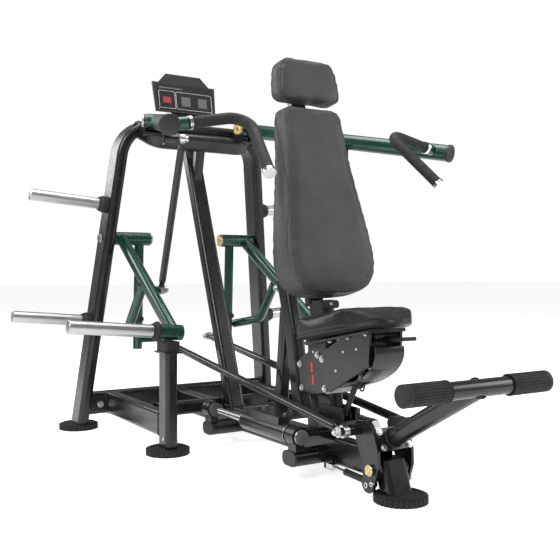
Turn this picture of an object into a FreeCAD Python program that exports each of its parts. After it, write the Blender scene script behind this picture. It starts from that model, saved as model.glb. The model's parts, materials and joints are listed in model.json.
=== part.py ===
"""Iso-lateral shoulder press machine with a foot assist lever.

Units are millimetres.  +Z is up and the floor is Z = 0.  The front of the machine (the way the
seated user faces) is -Y.  The user's left is +X.  The origin is the middle of the footprint.
Every function builds one sub-part.  A side of -1 is the user's right, +1 the user's left.
"""
import FreeCAD, Part
import math
import os

from FreeCAD import Vector as V

SIDES = (("right", -1), ("left", 1))

# ---- steel sections -------------------------------------------------------------------------
WALL = 3.0                      # wall of every tube
FIT = 0.05                      # radial running clearance of every turning or sliding pair
BIG_W, BIG_D, BIG_R = 50.0, 100.0, 18.0     # large rounded tube of the frame
ARCH_D = 112.0                              # depth of the arch's tube

# ---- rear arch ------------------------------------------------------------------------------
LEG_FOOT_X, LEG_FOOT_Y = 480.0, 938.0       # leg axis at the floor
LEG_IN, LEG_LEAN = 0.1165, 0.100            # leg runs inward and forward, mm per mm of height
ARCH_TOP_Z = 1345.0
ARCH_BEND = 150.0

# ---- base -----------------------------------------------------------------------------------
REAR_BAR_Y, REAR_BAR_Z = 920.0, 110.0
RAIL_X, RAIL_Z = 345.0, 110.0
POST_Y, POST_D, POST_TOP = 275.0, 80.0, 386.0
CROSS_Y, CROSS_Z = 450.0, 138.0
BEAM_W, BEAM_H, BEAM_Z = 60.0, 90.0, 97.0
BEAM_FRONT = -602.0
SHORT_BAR_Y = (285.0, -312.0)               # short cross bars that carry the guide rods
SHORT_BAR_Z, SHORT_BAR_HALF = 78.0, 165.0
PAD_R, PAD_H = 84.0, 22.0                   # round rubber floor pads
COLUMN_TOP, COLUMN_FOOT = (-613.0, 143.0), (-657.0, 12.0)
COLUMN_LEVEL = 121.0                        # height of the column's level top

# ---- guide rods and carriage ----------------------------------------------------------------
ROD_X, ROD_Z, ROD_R = 153.0, 154.0, 12.5
ROD_FRONT, ROD_REAR = -354.0, 312.0
HOUSING_R, HOUSING_FRONT, HOUSING_REAR = 33.0, -290.0, 2.0
DECK_Z, DECK_T = 192.0, 12.0
LEAN = 0.16                                 # seat post and back pad lean back, mm per mm of height
POST_LINE = (-252.0, 602.0)                 # a point on the seat post's centre line, Y and Z
SEAT_POST_TOP = 594.0

# ---- head and press arms --------------------------------------------------------------------
HEAD_PIVOT = (222.0, 665.0, 1345.0)
ARM_END = (585.0, -273.0, 1154.0)
ARM_R = 32.0
HUB_HALF, HUB_R, HUB_PIN_R = 48.0, 32.0, 15.0
GRIP_R = 19.0
GRIP_RING = (506.0, -238.0, 1172.0)
GRIP_APEX = (292.0, -250.0, 1214.0)
GRIP_END = (345.0, -471.0, 1006.0)

# ---- weight arms and foot assist levers -----------------------------------------------------
WEIGHT_PIVOT = (850.0, 842.0)               # Y and Z of the common axis
SHAFT_R, SHAFT_END = 20.0, 178.0
OUTER_HUB = (272.0, 350.0)                  # along X
INNER_HUB = (184.0, 269.5)
DIAGONAL_X = 335.0
HORN_AT = (340.0, 262.0, 466.0)             # a point on the loading horn's axis
HORN_TILT = 5.0
HORN_R = 25.0
LEVER_X, LEVER_R = 231.0, 21.0
LEVER_LEAN = 0.04
LEVER_BOTTOM = 346.0
TIE_X = 128.0
TIE_REAR = (868.0, 387.0)
TIE_FRONT = (-560.0, 206.0)
TIE_R = 15.0

# ---- link rods ------------------------------------------------------------------------------
LINK_TOP = (345.0, 145.0, 1188.0)
LINK_LOW = (285.0, 480.0, 622.0)
LINK_R = 14.0
LINK_EYE_BORE = 8.4                         # loose bore on a 6 mm radius pin, so the rod can tilt

# ---- foot rocker ----------------------------------------------------------------------------
ROCKER_PIVOT = (-622.0, 92.0)
ROCKER_PLATE = (62.0, 72.0)                 # along X
LOBE = (-602.0, 42.0)
STEM_LOW, STEM_END = (-637.0, 183.0), (-995.0, 385.0)
FOOT_BAR_HALF, FOOT_BAR_R = 262.0, 25.0
SLEEVE_START, SLEEVE_R = 120.0, 31.0
DAMPER_X = -46.0
DAMPER_ANCHOR = (-376.0, 52.0)

# ---- seat -----------------------------------------------------------------------------------
PLATE_X = (58.0, 66.0)
SEAT_SLOPE = 0.19                           # seat rises to the front
SEAT_BASE = (-290.0, 462.0)                 # underside of the pad, Y and Z at its rear
LEVER_PIVOT = (-500.0, 475.0)               # Y and Z of the release lever's pin
SPRING_LOW, SPRING_TOP = (-392.0, 222.0), (-488.0, 385.0)

# ---- pads -----------------------------------------------------------------------------------
BACK_BOTTOM = (-310.5, 611.0)               # a point on the lower edge, BACK_T before the rear face
BACK_H, BACK_T = 688.0, 72.0                # height, and thickness at the top
LUMBAR = ((0, 44), (90, 48), (210, 43), (380, 27), (540, 11), (688, 0))     # height, extra thickness
HEAD_BOTTOM = (-196.0, 1304.0)
HEAD_H, HEAD_T = 166.0, 66.0


# ---- helpers --------------------------------------------------------------------------------
def at(side, point):
    """Mirror a point given for the user's left onto the wanted side."""
    return V(side * point[0], point[1], point[2])


def rod(start, end, radius):
    """Solid round bar between two points."""
    axis = end - start
    return Part.makeCylinder(radius, axis.Length, start, axis)


def taper(start, end, r_start, r_end):
    """Solid cone between two points."""
    axis = end - start
    return Part.makeCone(r_start, r_end, axis.Length, start, axis)


def pipe(start, end, radius, wall=WALL):
    """Open round tube between two points."""
    return rod(start, end, radius).cut(rod(start, end, radius - wall))


def box(x, y, z):
    """Box from three (low, high) pairs."""
    return Part.makeBox(x[1] - x[0], y[1] - y[0], z[1] - z[0], V(x[0], y[0], z[0]))


def rounded_section(width, depth, radius):
    """Closed rounded rectangle in the XY plane, centred on the origin."""
    w, d = width / 2 - radius, depth / 2 - radius
    s = radius * math.sqrt(0.5)
    edges = []
    corners = ((w, d, 1, 1), (-w, d, -1, 1), (-w, -d, -1, -1), (w, -d, 1, -1))
    for i, (cx, cy, sx, sy) in enumerate(corners):
        side_x = V(cx + sx * radius, cy, 0)
        side_y = V(cx, cy + sy * radius, 0)
        middle = V(cx + sx * s, cy + sy * s, 0)
        first, last = (side_x, side_y) if i % 2 == 0 else (side_y, side_x)
        edges.append(Part.Arc(first, middle, last).toShape())
        nx, ny, nsx, nsy = corners[(i + 1) % 4]
        if i % 2 == 0:
            nxt = V(nx, ny + nsy * radius, 0)
        else:
            nxt = V(nx + nsx * radius, ny, 0)
        if (nxt - last).Length > 1e-6:
            edges.append(Part.makeLine(last, nxt))
    return Part.Wire(edges)


def placed(shape, origin, z_axis, x_hint):
    """Move a shape so that its Z runs along z_axis and its X close to x_hint."""
    z = V(z_axis).normalize()
    y = z.cross(V(x_hint)).normalize()
    x = y.cross(z)
    m = FreeCAD.Matrix(x.x, y.x, z.x, origin.x, x.y, y.y, z.y, origin.y,
                       x.z, y.z, z.z, origin.z, 0, 0, 0, 1)
    out = shape.copy()
    out.transformShape(m)
    return out


def bar(start, end, width, depth, radius, x_hint=V(1, 0, 0)):
    """Solid rounded-rectangle bar; width runs along x_hint."""
    axis = end - start
    face = Part.Face(rounded_section(width, depth, radius))
    return placed(face.extrude(V(0, 0, axis.Length)), start, axis, x_hint)


def tube(start, end, width, depth, radius, x_hint=V(1, 0, 0)):
    """Open rounded-rectangle tube, with the inside set back by WALL."""
    outer = bar(start, end, width, depth, radius, x_hint)
    inner = bar(start, end, width - 2 * WALL, depth - 2 * WALL, radius - WALL, x_hint)
    return outer.cut(inner)


def bent_path(points, bend):
    """Wire through the points with every corner rounded to the bend radius."""
    edges = []
    last = points[0]
    for before, corner, after in zip(points, points[1:], points[2:]):
        a = (before - corner).normalize()
        b = (after - corner).normalize()
        half = a.getAngle(b) / 2
        back = bend / math.tan(half)
        centre = corner + (a + b).normalize() * (bend / math.sin(half))
        start = corner + a * back
        end = corner + b * back
        middle = centre + (corner - centre).normalize() * bend
        edges.append(Part.makeLine(last, start))
        edges.append(Part.Arc(start, middle, end).toShape())
        last = end
    edges.append(Part.makeLine(last, points[-1]))
    return Part.Wire(edges)


def swept(points, bend, section, normal=None):
    """Solid sweep of a section along a bent path; normal fixes the section's Y direction."""
    path = bent_path(points, bend)
    direction = points[1] - points[0]
    if normal is None:
        normal = V(0, 0, 1) if abs(direction.normalize().z) < 0.9 else V(0, 1, 0)
        profile = placed(section, points[0], points[1] - points[0], normal)
        return path.makePipeShell([profile], True, True)
    profile = placed(section, points[0], direction, normal.cross(direction) * -1)
    sweep = Part.BRepOffsetAPI.MakePipeShell(path)
    sweep.setBiNormalMode(normal)
    sweep.add(profile)
    sweep.build()
    sweep.makeSolid()
    return sweep.shape()


def bent_bar(points, bend, radius):
    """Solid round bar along a bent path."""
    circle = Part.Wire([Part.Circle(V(0, 0, 0), V(0, 0, 1), radius).toShape()])
    return swept(points, bend, circle)


def bent_pipe(points, bend, radius, wall=WALL):
    """Open round tube along a bent path."""
    return bent_bar(points, bend, radius).cut(bent_bar(points, bend, radius - wall))


def plate_yz(outline, x_low, x_high):
    """Flat plate in the YZ plane with the given outline, between two X values."""
    wire = Part.makePolygon([V(x_low, y, z) for y, z in outline + [outline[0]]])
    return Part.Face(wire).extrude(V(x_high - x_low, 0, 0))


def fused(shapes):
    """One solid from several overlapping shapes."""
    return shapes[0].multiFuse(list(shapes[1:])).removeSplitter()


def group(shapes):
    """Separate solids kept side by side in one sub-part."""
    solids = []
    for shape in shapes:
        solids.extend(shape.Solids)
    return Part.makeCompound(solids)


def bolt_head(point, direction, radius, height):
    """Hexagon head standing on a face, with its washer."""
    axis = V(direction).normalize()
    hexagon = Part.makePolygon([V(radius * math.cos(math.radians(60 * i)),
                                  radius * math.sin(math.radians(60 * i)), 0) for i in range(7)])
    hint = V(0, 0, 1) if abs(axis.z) < 0.9 else V(1, 0, 0)
    head = placed(Part.Face(hexagon).extrude(V(0, 0, height)), point + axis * 2, axis, hint)
    washer = rod(point, point + axis * 2, radius * 1.45)
    return head.fuse(washer)


def leg_axis(z):
    """X (outward) and Y of the rear leg's centre line at a height."""
    return LEG_FOOT_X - LEG_IN * z, LEG_FOOT_Y - LEG_LEAN * z


def post_y(z):
    """Y of the seat post's centre line at a height."""
    return POST_LINE[0] + LEAN * (z - POST_LINE[1])


# ---- frame ----------------------------------------------------------------------------------
def arch_envelope(inset=0.0):
    foot_x, foot_y = leg_axis(PAD_H)
    top_x, top_y = leg_axis(ARCH_TOP_Z)
    corners = [V(-foot_x, foot_y, PAD_H), V(-top_x, top_y, ARCH_TOP_Z),
               V(top_x, top_y, ARCH_TOP_Z), V(foot_x, foot_y, PAD_H)]
    normal = V(0, 1, LEG_LEAN).normalize()
    section = rounded_section(BIG_W - 2 * inset, ARCH_D - 2 * inset, BIG_R - inset)
    solid = swept(corners, ARCH_BEND, section, normal)
    return solid.cut(box((-700, 700), (500, 1200), (-50, PAD_H)))


def rear_arch():
    return arch_envelope().cut(arch_envelope(WALL))


def rear_crossbar():
    reach = leg_axis(REAR_BAR_Z)[0]
    start, end = V(-reach, REAR_BAR_Y, REAR_BAR_Z), V(reach, REAR_BAR_Y, REAR_BAR_Z)
    return tube(start, end, BIG_D, BIG_W, BIG_R, V(0, 0, 1)).cut(arch_envelope())


def side_frame(side):
    """Side rail with the upright bumper post welded to its front end."""
    x = side * RAIL_X
    post_low, post_high = V(x, POST_Y, PAD_H), V(x, POST_Y, POST_TOP)
    post = tube(post_low, post_high, BIG_W, POST_D, 14)
    rear = V(x, REAR_BAR_Y - BIG_W / 2, RAIL_Z)
    rail = tube(rear, V(x, POST_Y, RAIL_Z), BIG_W, BIG_D, BIG_R)
    rail = rail.cut(bar(post_low, post_high, BIG_W, POST_D, 14))
    cap = box((x - 36, x + 36), (POST_Y - 52, POST_Y + 52), (POST_TOP, POST_TOP + 6))
    return fused([post, rail, cap])


def post_bumpers():
    blocks = []
    for name, side in SIDES:
        x = side * RAIL_X
        low, high = V(x, POST_Y, POST_TOP + 6), V(x, POST_Y, 431)
        blocks.append(bar(low, high, 60, 96, 12))
    return group(blocks)


def floor_pad(x, y):
    disc = Part.makeCylinder(PAD_R, PAD_H, V(x, y, 0))
    ribs = []
    for i in range(32):
        angle = 2 * math.pi * i / 32
        centre = V(x + PAD_R * math.cos(angle), y + PAD_R * math.sin(angle), 0)
        ribs.append(Part.makeCylinder(3.2, PAD_H, centre))
    return disc.cut(Part.makeCompound(ribs))


def floor_pads():
    foot_x, foot_y = leg_axis(0)
    spots = [(0, COLUMN_FOOT[0] - 19)]
    for name, side in SIDES:
        spots.append((side * foot_x, foot_y + 4))
        spots.append((side * RAIL_X, POST_Y + 4))
    return group([floor_pad(x, y) for x, y in spots])


def main_beam():
    rear, front = V(0, REAR_BAR_Y - BIG_W / 2, BEAM_Z), V(0, BEAM_FRONT, BEAM_Z)
    beam = tube(rear, front, BEAM_W, BEAM_H, 12)
    pivot_y, pivot_z = ROCKER_PIVOT
    sleeve_low, sleeve_high = V(-56, pivot_y, pivot_z), V(56, pivot_y, pivot_z)
    beam = beam.cut(rod(sleeve_low, sleeve_high, 26))
    parts = [beam, rod(sleeve_low, sleeve_high, 26)]
    for y in SHORT_BAR_Y:
        start, end = V(-SHORT_BAR_HALF, y, SHORT_BAR_Z), V(SHORT_BAR_HALF, y, SHORT_BAR_Z)
        short = bar(start, end, 50, 80, 22, V(0, 0, 1))
        core = bar(start, end, 44, 74, 19, V(0, 0, 1))
        parts.append(short.cut(core).cut(bar(rear, front, BEAM_W, BEAM_H, 12)))
    anchor_y, anchor_z = DAMPER_ANCHOR
    lug = box((DAMPER_X - 5, DAMPER_X + 5), (anchor_y - 13, SHORT_BAR_Y[1] - 30),
              (anchor_z - 13, SHORT_BAR_Z))
    parts.append(lug.cut(rod(V(-90, anchor_y, anchor_z), V(0, anchor_y, anchor_z), 7.0)))
    return fused(parts).cut(rod(V(-60, pivot_y, pivot_z), V(60, pivot_y, pivot_z), 12.6))


def beam_envelope():
    return bar(V(0, REAR_BAR_Y - BIG_W / 2, BEAM_Z), V(0, BEAM_FRONT, BEAM_Z), BEAM_W, BEAM_H, 12)


def cross_member():
    start, end = V(-RAIL_X + BIG_W / 2, CROSS_Y, CROSS_Z), V(RAIL_X - BIG_W / 2, CROSS_Y, CROSS_Z)
    solid = tube(start, end, 54, 50, 14, V(0, 0, 1)).cut(beam_envelope())
    for name, side in SIDES:
        x = side * RAIL_X
        rail = bar(V(x, 890, RAIL_Z), V(x, POST_Y, RAIL_Z), BIG_W, BIG_D, BIG_R)
        solid = solid.cut(rail)
    return solid


def front_column():
    top, foot = V(0, COLUMN_TOP[0], COLUMN_TOP[1]), V(0, COLUMN_FOOT[0], COLUMN_FOOT[1])
    column = bar(top, foot, 92, 62, 18)
    column = column.cut(box((-60, 60), (-900, -500), (-40, PAD_H)))
    column = column.cut(box((-60, 60), (-900, -500), (COLUMN_LEVEL, 300)))
    pivot_y, pivot_z = ROCKER_PIVOT
    return column.cut(rod(V(-60, pivot_y, pivot_z), V(60, pivot_y, pivot_z), 26)).cut(beam_envelope())


def end_caps():
    """Plastic caps on the short cross bars."""
    caps = []
    for y in SHORT_BAR_Y:
        for name, side in SIDES:
            inner = V(side * SHORT_BAR_HALF, y, SHORT_BAR_Z)
            outer = V(side * (SHORT_BAR_HALF + 8), y, SHORT_BAR_Z)
            caps.append(bar(inner, outer, 50, 80, 22, V(0, 0, 1)))
    return group(caps)


def guide_rods():
    return group([rod(V(side * ROD_X, ROD_FRONT, ROD_Z), V(side * ROD_X, ROD_REAR, ROD_Z), ROD_R)
                  for name, side in SIDES])


def rod_holders():
    """Clamp blocks that hold both ends of each guide rod, and the bar between the front pair."""
    holders = []
    for name, side in SIDES:
        x = side * ROD_X
        bore = rod(V(x, -500, ROD_Z), V(x, 500, ROD_Z), ROD_R)
        for low, high in ((-350, -302), (262, 312)):
            sleeve = rod(V(x, low, ROD_Z), V(x, high, ROD_Z), 31)
            foot = box((x - 16, x + 16), (low, high), (SHORT_BAR_Z + 25, ROD_Z - 10))
            holders.append(fused([sleeve, foot]).cut(bore))
        holders.append(rod(V(x, -362, ROD_Z), V(x, ROD_FRONT - 0.2, ROD_Z), 25.5))
    clamps = Part.makeCompound([rod(V(side * ROD_X, -350, ROD_Z), V(side * ROD_X, -302, ROD_Z), 31)
                                for name, side in SIDES])
    holders.append(rod(V(-ROD_X, -326, ROD_Z + 4), V(ROD_X, -326, ROD_Z + 4), 12).cut(clamps))
    return group(holders)


def rod_bumpers():
    """Rubber stop rings at both ends of the carriage travel."""
    rings = []
    for name, side in SIDES:
        x = side * ROD_X
        for low, high in ((-301.5, -293), (236, 261.5)):
            ring = rod(V(x, low, ROD_Z), V(x, high, ROD_Z), 26)
            rings.append(ring.cut(rod(V(x, low - 1, ROD_Z), V(x, high + 1, ROD_Z), ROD_R)))
    return group(rings)


SPINE_LOW, SPINE_HIGH = V(0, 375, 144), V(0, 825, 1322)


def spine():
    """Leaning centre strut from the main beam to the arch, with its short front prop."""
    strut = tube(SPINE_LOW - (SPINE_HIGH - SPINE_LOW) * 0.03, SPINE_HIGH, 72, 54, 14)
    strut = strut.cut(beam_envelope()).cut(arch_envelope())
    prop_low, prop_high = V(0, 742, 1085), V(0, 700, 1262)
    prop = tube(prop_low, prop_high, 42, 42, 10)
    prop = prop.cut(bar(SPINE_LOW, SPINE_HIGH, 72, 54, 14)).cut(bow_envelope())
    return fused([strut, max(prop.Solids, key=lambda s: s.CenterOfMass.z)])


def bow_points():
    return [V(-262, 800, 1330), V(-216, 688, 1270), V(216, 688, 1270), V(262, 800, 1330)]


def bow_envelope(inset=0.0):
    points = bow_points()
    normal = (points[1] - points[0]).cross(points[2] - points[1]).normalize()
    section = rounded_section(50 - 2 * inset, 76 - 2 * inset, 24 - inset)
    return swept(points, 60, section, normal)


def press_axis(side):
    """Unit vector of the press arm's pivot, pointing outward and back."""
    run = V(ARM_END[0] - HEAD_PIVOT[0], ARM_END[1] - HEAD_PIVOT[1], 0).normalize()
    return V(side * -run.y, run.x, 0)


def head_bow():
    """Bent tube in front of the arch, with the two pairs of pivot cheeks and the centre plate."""
    shell = bow_envelope().cut(bow_envelope(WALL))
    parts = [shell]
    for name, side in SIDES:
        pivot = at(side, HEAD_PIVOT)
        axis = press_axis(side)
        for offset in (-HUB_HALF - 10, HUB_HALF + 2):
            base = pivot + axis * offset
            disc = rod(base, base + axis * 8, 30)
            rearward = V(0, 0, 1).cross(axis) * (side * 8)
            low = V(base.x, base.y, 1284) + rearward
            web = placed(Part.makeBox(8, 54, pivot.z - low.z, V(0, -27, 0)), low, V(0, 0, 1), axis)
            parts.append(disc.fuse(web))
        saddle = pivot + axis * -57
        parts.append(bar(V(saddle.x, saddle.y + 8, 1290), V(*(pivot + axis * 57 + V(0, 8, 1290 - pivot.z))),
                         12, 54, 3, V(0, 0, 1)))
    solid = fused(parts).cut(arch_envelope())
    for name, side in SIDES:
        pivot = at(side, HEAD_PIVOT)
        axis = press_axis(side)
        solid = solid.cut(rod(pivot - axis * 80, pivot + axis * 80, HUB_PIN_R))
        for out in (-1, 1):
            face = pivot + axis * (out * (HUB_HALF + 10))
            solid = solid.cut(rod(face, face + axis * (out * 7), 29))
    inner = bow_envelope(WALL)
    solid = solid.cut(inner)
    return group([s for s in solid.Solids if s.Volume > 2000])


def pivot_shafts():
    """Fixed steel shafts: press pivots, weight arm pivots and the foot rocker pivot."""
    shafts = []
    y, z = WEIGHT_PIVOT
    for name, side in SIDES:
        leg = leg_axis(z)[0] - BIG_W / 2
        shaft = rod(V(side * (SHAFT_END + 6), y, z), V(side * (leg + 12), y, z), SHAFT_R)
        stop = rod(V(side * SHAFT_END, y, z), V(side * (SHAFT_END + 6), y, z), 27)
        shafts.append(fused([shaft, stop]).cut(arch_envelope()))
        pivot = at(side, HEAD_PIVOT)
        axis = press_axis(side)
        pin = rod(pivot - axis * (HUB_HALF + 10), pivot + axis * (HUB_HALF + 10), HUB_PIN_R)
        ends = [rod(pivot + axis * s * (HUB_HALF + 10), pivot + axis * s * (HUB_HALF + 15), 27)
                for s in (-1, 1)]
        shafts.append(fused([pin] + ends))
    y, z = ROCKER_PIVOT
    shafts.append(fused([rod(V(-76, y, z), V(76, y, z), 12.5),
                         rod(V(-80, y, z), V(-76, y, z), 16),
                         rod(V(76, y, z), V(80, y, z), 16)]))
    return group(shafts)


def horn_axis(side):
    tilt = math.radians(HORN_TILT)
    return V(side * math.cos(tilt), 0, math.sin(tilt))


def storage_spots(side):
    """Root point of each storage horn on the leg's outer face."""
    spots = []
    for z in (478.0, 990.0):
        x, y = leg_axis(z)
        spots.append(V(side * (x + BIG_W / 2), y, z))
    return spots


def storage_horns():
    horns = []
    for name, side in SIDES:
        for root in storage_spots(side):
            axis = horn_axis(side)
            sleeve = rod(root + axis * 34, root + axis * 330, HORN_R)
            sleeve = sleeve.cut(rod(root + axis * 34, root + axis * 322, HORN_R - 4))
            horns.append(sleeve)
    return group(horns)


def horn_collars():
    collars = []
    for name, side in SIDES:
        for root in storage_spots(side):
            axis = horn_axis(side)
            flange = rod(root - axis * 6, root + axis * 22, 36)
            cone = taper(root + axis * 22, root + axis * 33.9, 36, 30)
            collars.append(fused([flange, cone]).cut(arch_envelope()))
    return group(collars)


def placard():
    """Blank instruction plate leaning back, with its raised top tab."""
    low, high = V(0, 842, 1430), V(0, 872, 1570)
    tip = high + (high - low).normalize() * 46
    outline = [(-152, low), (-160, high), (-130, high), (-88, tip), (88, tip), (130, high),
               (160, high), (152, low)]
    points = [V(x, p.y, p.z) for x, p in outline]
    face = Part.Face(Part.makePolygon(points + [points[0]]))
    normal = V(1, 0, 0).cross(high - low).normalize()
    return face.extrude(normal * -8)


def placard_bracket():
    post = box((-70, 70), (853, 861), (1362, 1470))
    post = post.cut(arch_envelope())
    shell = placard()
    return post.cut(shell)


def frame_bolts():
    """Hexagon heads on the fixed frame."""
    bolts = []
    for name, side in SIDES:
        x, y = leg_axis(WEIGHT_PIVOT[1])
        bolts.append(bolt_head(V(side * (x + BIG_W / 2 + 3), y, WEIGHT_PIVOT[1]), V(side, 0, 0), 14, 10))
        bolts.append(bolt_head(V(side * 396, REAR_BAR_Y - BIG_W / 2, 104), V(0, -1, 0), 10, 7))
        for root in storage_spots(side):
            axis = horn_axis(side)
            bolts.append(rod(root + axis * 330.1, root + axis * 334, 12))
    return group(bolts)


# ---- carriage -------------------------------------------------------------------------------
def bearing_housings():
    housings = []
    for name, side in SIDES:
        x = side * ROD_X
        shell = rod(V(x, HOUSING_FRONT, ROD_Z), V(x, HOUSING_REAR, ROD_Z), HOUSING_R)
        housings.append(shell.cut(rod(V(x, -400, ROD_Z), V(x, 100, ROD_Z), ROD_R + FIT)))
    return group(housings)


def seat_post(gap=0.0):
    """Solid envelope of the leaning seat post, optionally enlarged all round."""
    low = V(0, post_y(DECK_Z + 4), DECK_Z + 4)
    high = V(0, post_y(SEAT_POST_TOP), SEAT_POST_TOP)
    return bar(low, high, 50 + 2 * gap, 100 + 2 * gap, 16 + gap)


def carriage_frame():
    """Deck, seat post, leaning back strut and pad upright welded together."""
    deck = box((-ROD_X, ROD_X), (-250, -30), (DECK_Z, DECK_Z + DECK_T))
    tongue = box((-45, 45), (-425, -40), (DECK_Z, DECK_Z + DECK_T))
    housings = [rod(V(s * ROD_X, -300, ROD_Z), V(s * ROD_X, 10, ROD_Z), HOUSING_R) for n, s in SIDES]
    saddles = [box((s * ROD_X - 22, s * ROD_X + 22), (-250, -30), (ROD_Z + 20, DECK_Z + DECK_T))
               for n, s in SIDES]
    base = fused([deck, tongue] + saddles).cut(Part.makeCompound(housings))
    post_low = V(0, post_y(DECK_Z + 4), DECK_Z + 4)
    post_high = V(0, post_y(SEAT_POST_TOP), SEAT_POST_TOP)
    post = seat_post().cut(bar(post_low + V(0, 2, 12), post_high - V(0, 2, 6), 44, 94, 13))
    strut_points = [V(0, -135, DECK_Z + 4), V(0, -78, 480), V(0, -30, 640)]
    strut = fused([tube(strut_points[0], strut_points[1], 50, 64, 12),
                   tube(strut_points[1] - V(0, 6, 17), strut_points[2], 50, 64, 12)])
    brace = tube(V(0, 10, DECK_Z + 4), V(0, -32, 560), 44, 44, 10)
    heel = box((-40, 40), (-60, 36), (DECK_Z, DECK_Z + DECK_T))
    arm = bar(V(0, 0, 648), V(0, -190, 648), 50, 50, 10)
    upright_low = V(0, back_rear(582) + 31, 582)
    upright_high = V(0, back_rear(1462) + 31, 1462)
    upright = tube(upright_low, upright_high, 60, 38, 8)
    shelf = box((-25, 25), (post_y(580) - 30, upright_low.y + 19), (575, 598))
    body = fused([base, post, strut, brace, heel, arm, upright, shelf])
    y, z = SPRING_LOW
    lugs = []
    for x in (-19, 13):
        lug = box((x, x + 6), (y - 13, y + 13), (DECK_Z + DECK_T - 1, z + 13))
        lugs.append(lug)
    gussets = [box((x, x + 6), (-418, -300), (DECK_Z + DECK_T - 1, 246)) for x in (-31, 25)]
    body = fused([body] + lugs + gussets)
    return body.cut(rod(V(-20, y, z), V(20, y, z), 5.0))


def back_rear(z):
    """Y of the back pad's rear face at a height."""
    return BACK_BOTTOM[0] + BACK_T * 1.013 + LEAN * (z - BACK_BOTTOM[1])


def pad_solid(outline, bottom, thickness, front=((0, 0), (1000, 0))):
    """Cushion from its right-half outline (across, up), leaning back like the seat post.

    The front profile gives how far the front face stands out at each height.
    """
    left = [(-x, h) for x, h in reversed(outline) if x > 0]
    points = [V(x, 0, h) for x, h in outline + left]
    curve = Part.BSplineCurve()
    curve.interpolate(points, PeriodicFlag=True)
    face = Part.Face(Part.Wire([curve.toShape()]))
    reach = max(depth for h, depth in front) + 20
    block = face.extrude(V(0, thickness + reach, 0))
    block.translate(V(0, -reach, 0))
    nose = Part.BSplineCurve()
    nose.interpolate([V(-300, -depth, h) for h, depth in front])
    first, last = nose.StartPoint, nose.EndPoint
    corners = [first, V(-300, first.y, -50), V(-300, thickness, -50), V(-300, thickness, 1050),
               V(-300, last.y, 1050), last]
    edges = [nose.toShape()] + [Part.makeLine(p, q) for p, q in zip(corners, corners[1:])
                                if (q - p).Length > 1e-6]
    profile = Part.Face(Part.Wire(Part.__sortEdges__(edges))).extrude(V(600, 0, 0))
    origin = V(0, bottom[0], bottom[1])
    return placed(block.common(profile).removeSplitter(), origin, V(0, LEAN, 1), V(1, 0, 0))


def back_pad():
    outline = [(0, 0), (80, 2), (140, 22), (176, 74), (184, 134), (177, 228), (155, 395),
               (138, 560), (132, 640), (118, 675), (84, BACK_H - 1), (0, BACK_H)]
    return pad_solid(outline, BACK_BOTTOM, BACK_T, LUMBAR)


def head_pad():
    outline = [(0, 0), (60, 0.5), (114, 4), (133, 18), (136, 42), (131, 92), (120, 136), (98, 158),
               (50, HEAD_H - 1), (0, HEAD_H)]
    return pad_solid(outline, HEAD_BOTTOM, HEAD_T)


def pad_boards():
    """Plywood boards between the cushions and the upright."""
    boards = []
    for z_low, z_high, half in ((640, 1250, 95), (1320, 1455, 80)):
        low, high = V(0, back_rear(z_low) + 6, z_low), V(0, back_rear(z_high) + 6, z_high)
        boards.append(bar(low, high, 2 * half, 10.5, 4))
    return group(boards)


# ---- seat -----------------------------------------------------------------------------------
def seat_under(y):
    """Height of the seat pad's underside."""
    return SEAT_BASE[1] + SEAT_SLOPE * (SEAT_BASE[0] - y)


PLATE_OUTLINE = [(-608, seat_under(-608) - 12.5), (-602, 405), (-396, 301), (-256, 274),
                 (-226, 280), (-208, 372), (-222, 398), (-300, 438), (-384, 444), (-418, 462),
                 (-452, seat_under(-452) - 12.5)]


def seat_plates():
    """Pair of side plates that carry the seat along the post."""
    plates = []
    for name, side in SIDES:
        low, high = sorted((side * PLATE_X[0], side * PLATE_X[1]))
        plates.append(plate_yz(PLATE_OUTLINE, low, high))
    return group(plates)


def guide_spots():
    """Y and Z of the guide bars that run on the front and back of the seat post."""
    spots = []
    for z, offset in ((387, 68.4), (305, 68.4), (395, -68.4), (298, -68.4)):
        run = V(0, LEAN, 1).normalize()
        across = V(0, 1, -LEAN).normalize()
        base = V(0, post_y(z), z)
        spots.append(base + across * offset)
    return spots


def seat_guides():
    """Nylon guide bars between the side plates, front and back of the post."""
    bars = []
    for spot in guide_spots():
        bars.append(rod(V(-PLATE_X[0], spot.y, spot.z), V(PLATE_X[0], spot.y, spot.z), 18))
    return group(bars)


def seat_cover():
    """Curved steel cover closing the front between the side plates."""
    outer = [V(0, -622, 466), V(0, -625, 445), V(0, -616, 418), V(0, -593, 390), V(0, -556, 365),
             V(0, -491, 336), V(0, -440, 322)]
    spline = Part.BSplineCurve()
    spline.interpolate(outer)
    path = Part.Wire([spline.toShape()])
    start = outer[0]
    tangent = spline.tangent(spline.FirstParameter)[0]
    section = Part.makePolygon([V(-57.5, -2, 0), V(57.5, -2, 0), V(57.5, 2, 0), V(-57.5, 2, 0),
                                V(-57.5, -2, 0)])
    cover = path.makePipeShell([placed(section, start, tangent, V(1, 0, 0))], True, False)
    return cover.cut(box((-20, 20), (-520, -400), (300, 420)))


def seat_pan():
    """Steel pan under the seat pad, with the pins of the gas spring and the release lever."""
    low, high = V(0, -612, seat_under(-612) - 6.3), V(0, -262, seat_under(-262) - 6.3)
    pan = bar(low, high, 150, 12, 4).cut(seat_post(4))
    y, z = SPRING_TOP
    pin = rod(V(-PLATE_X[0], y, z), V(PLATE_X[0], y, z), 5)
    y, z = LEVER_PIVOT
    lever_pin = rod(V(12, y, z), V(PLATE_X[0], y, z), 6)
    return group([pan, pin, lever_pin])


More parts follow.
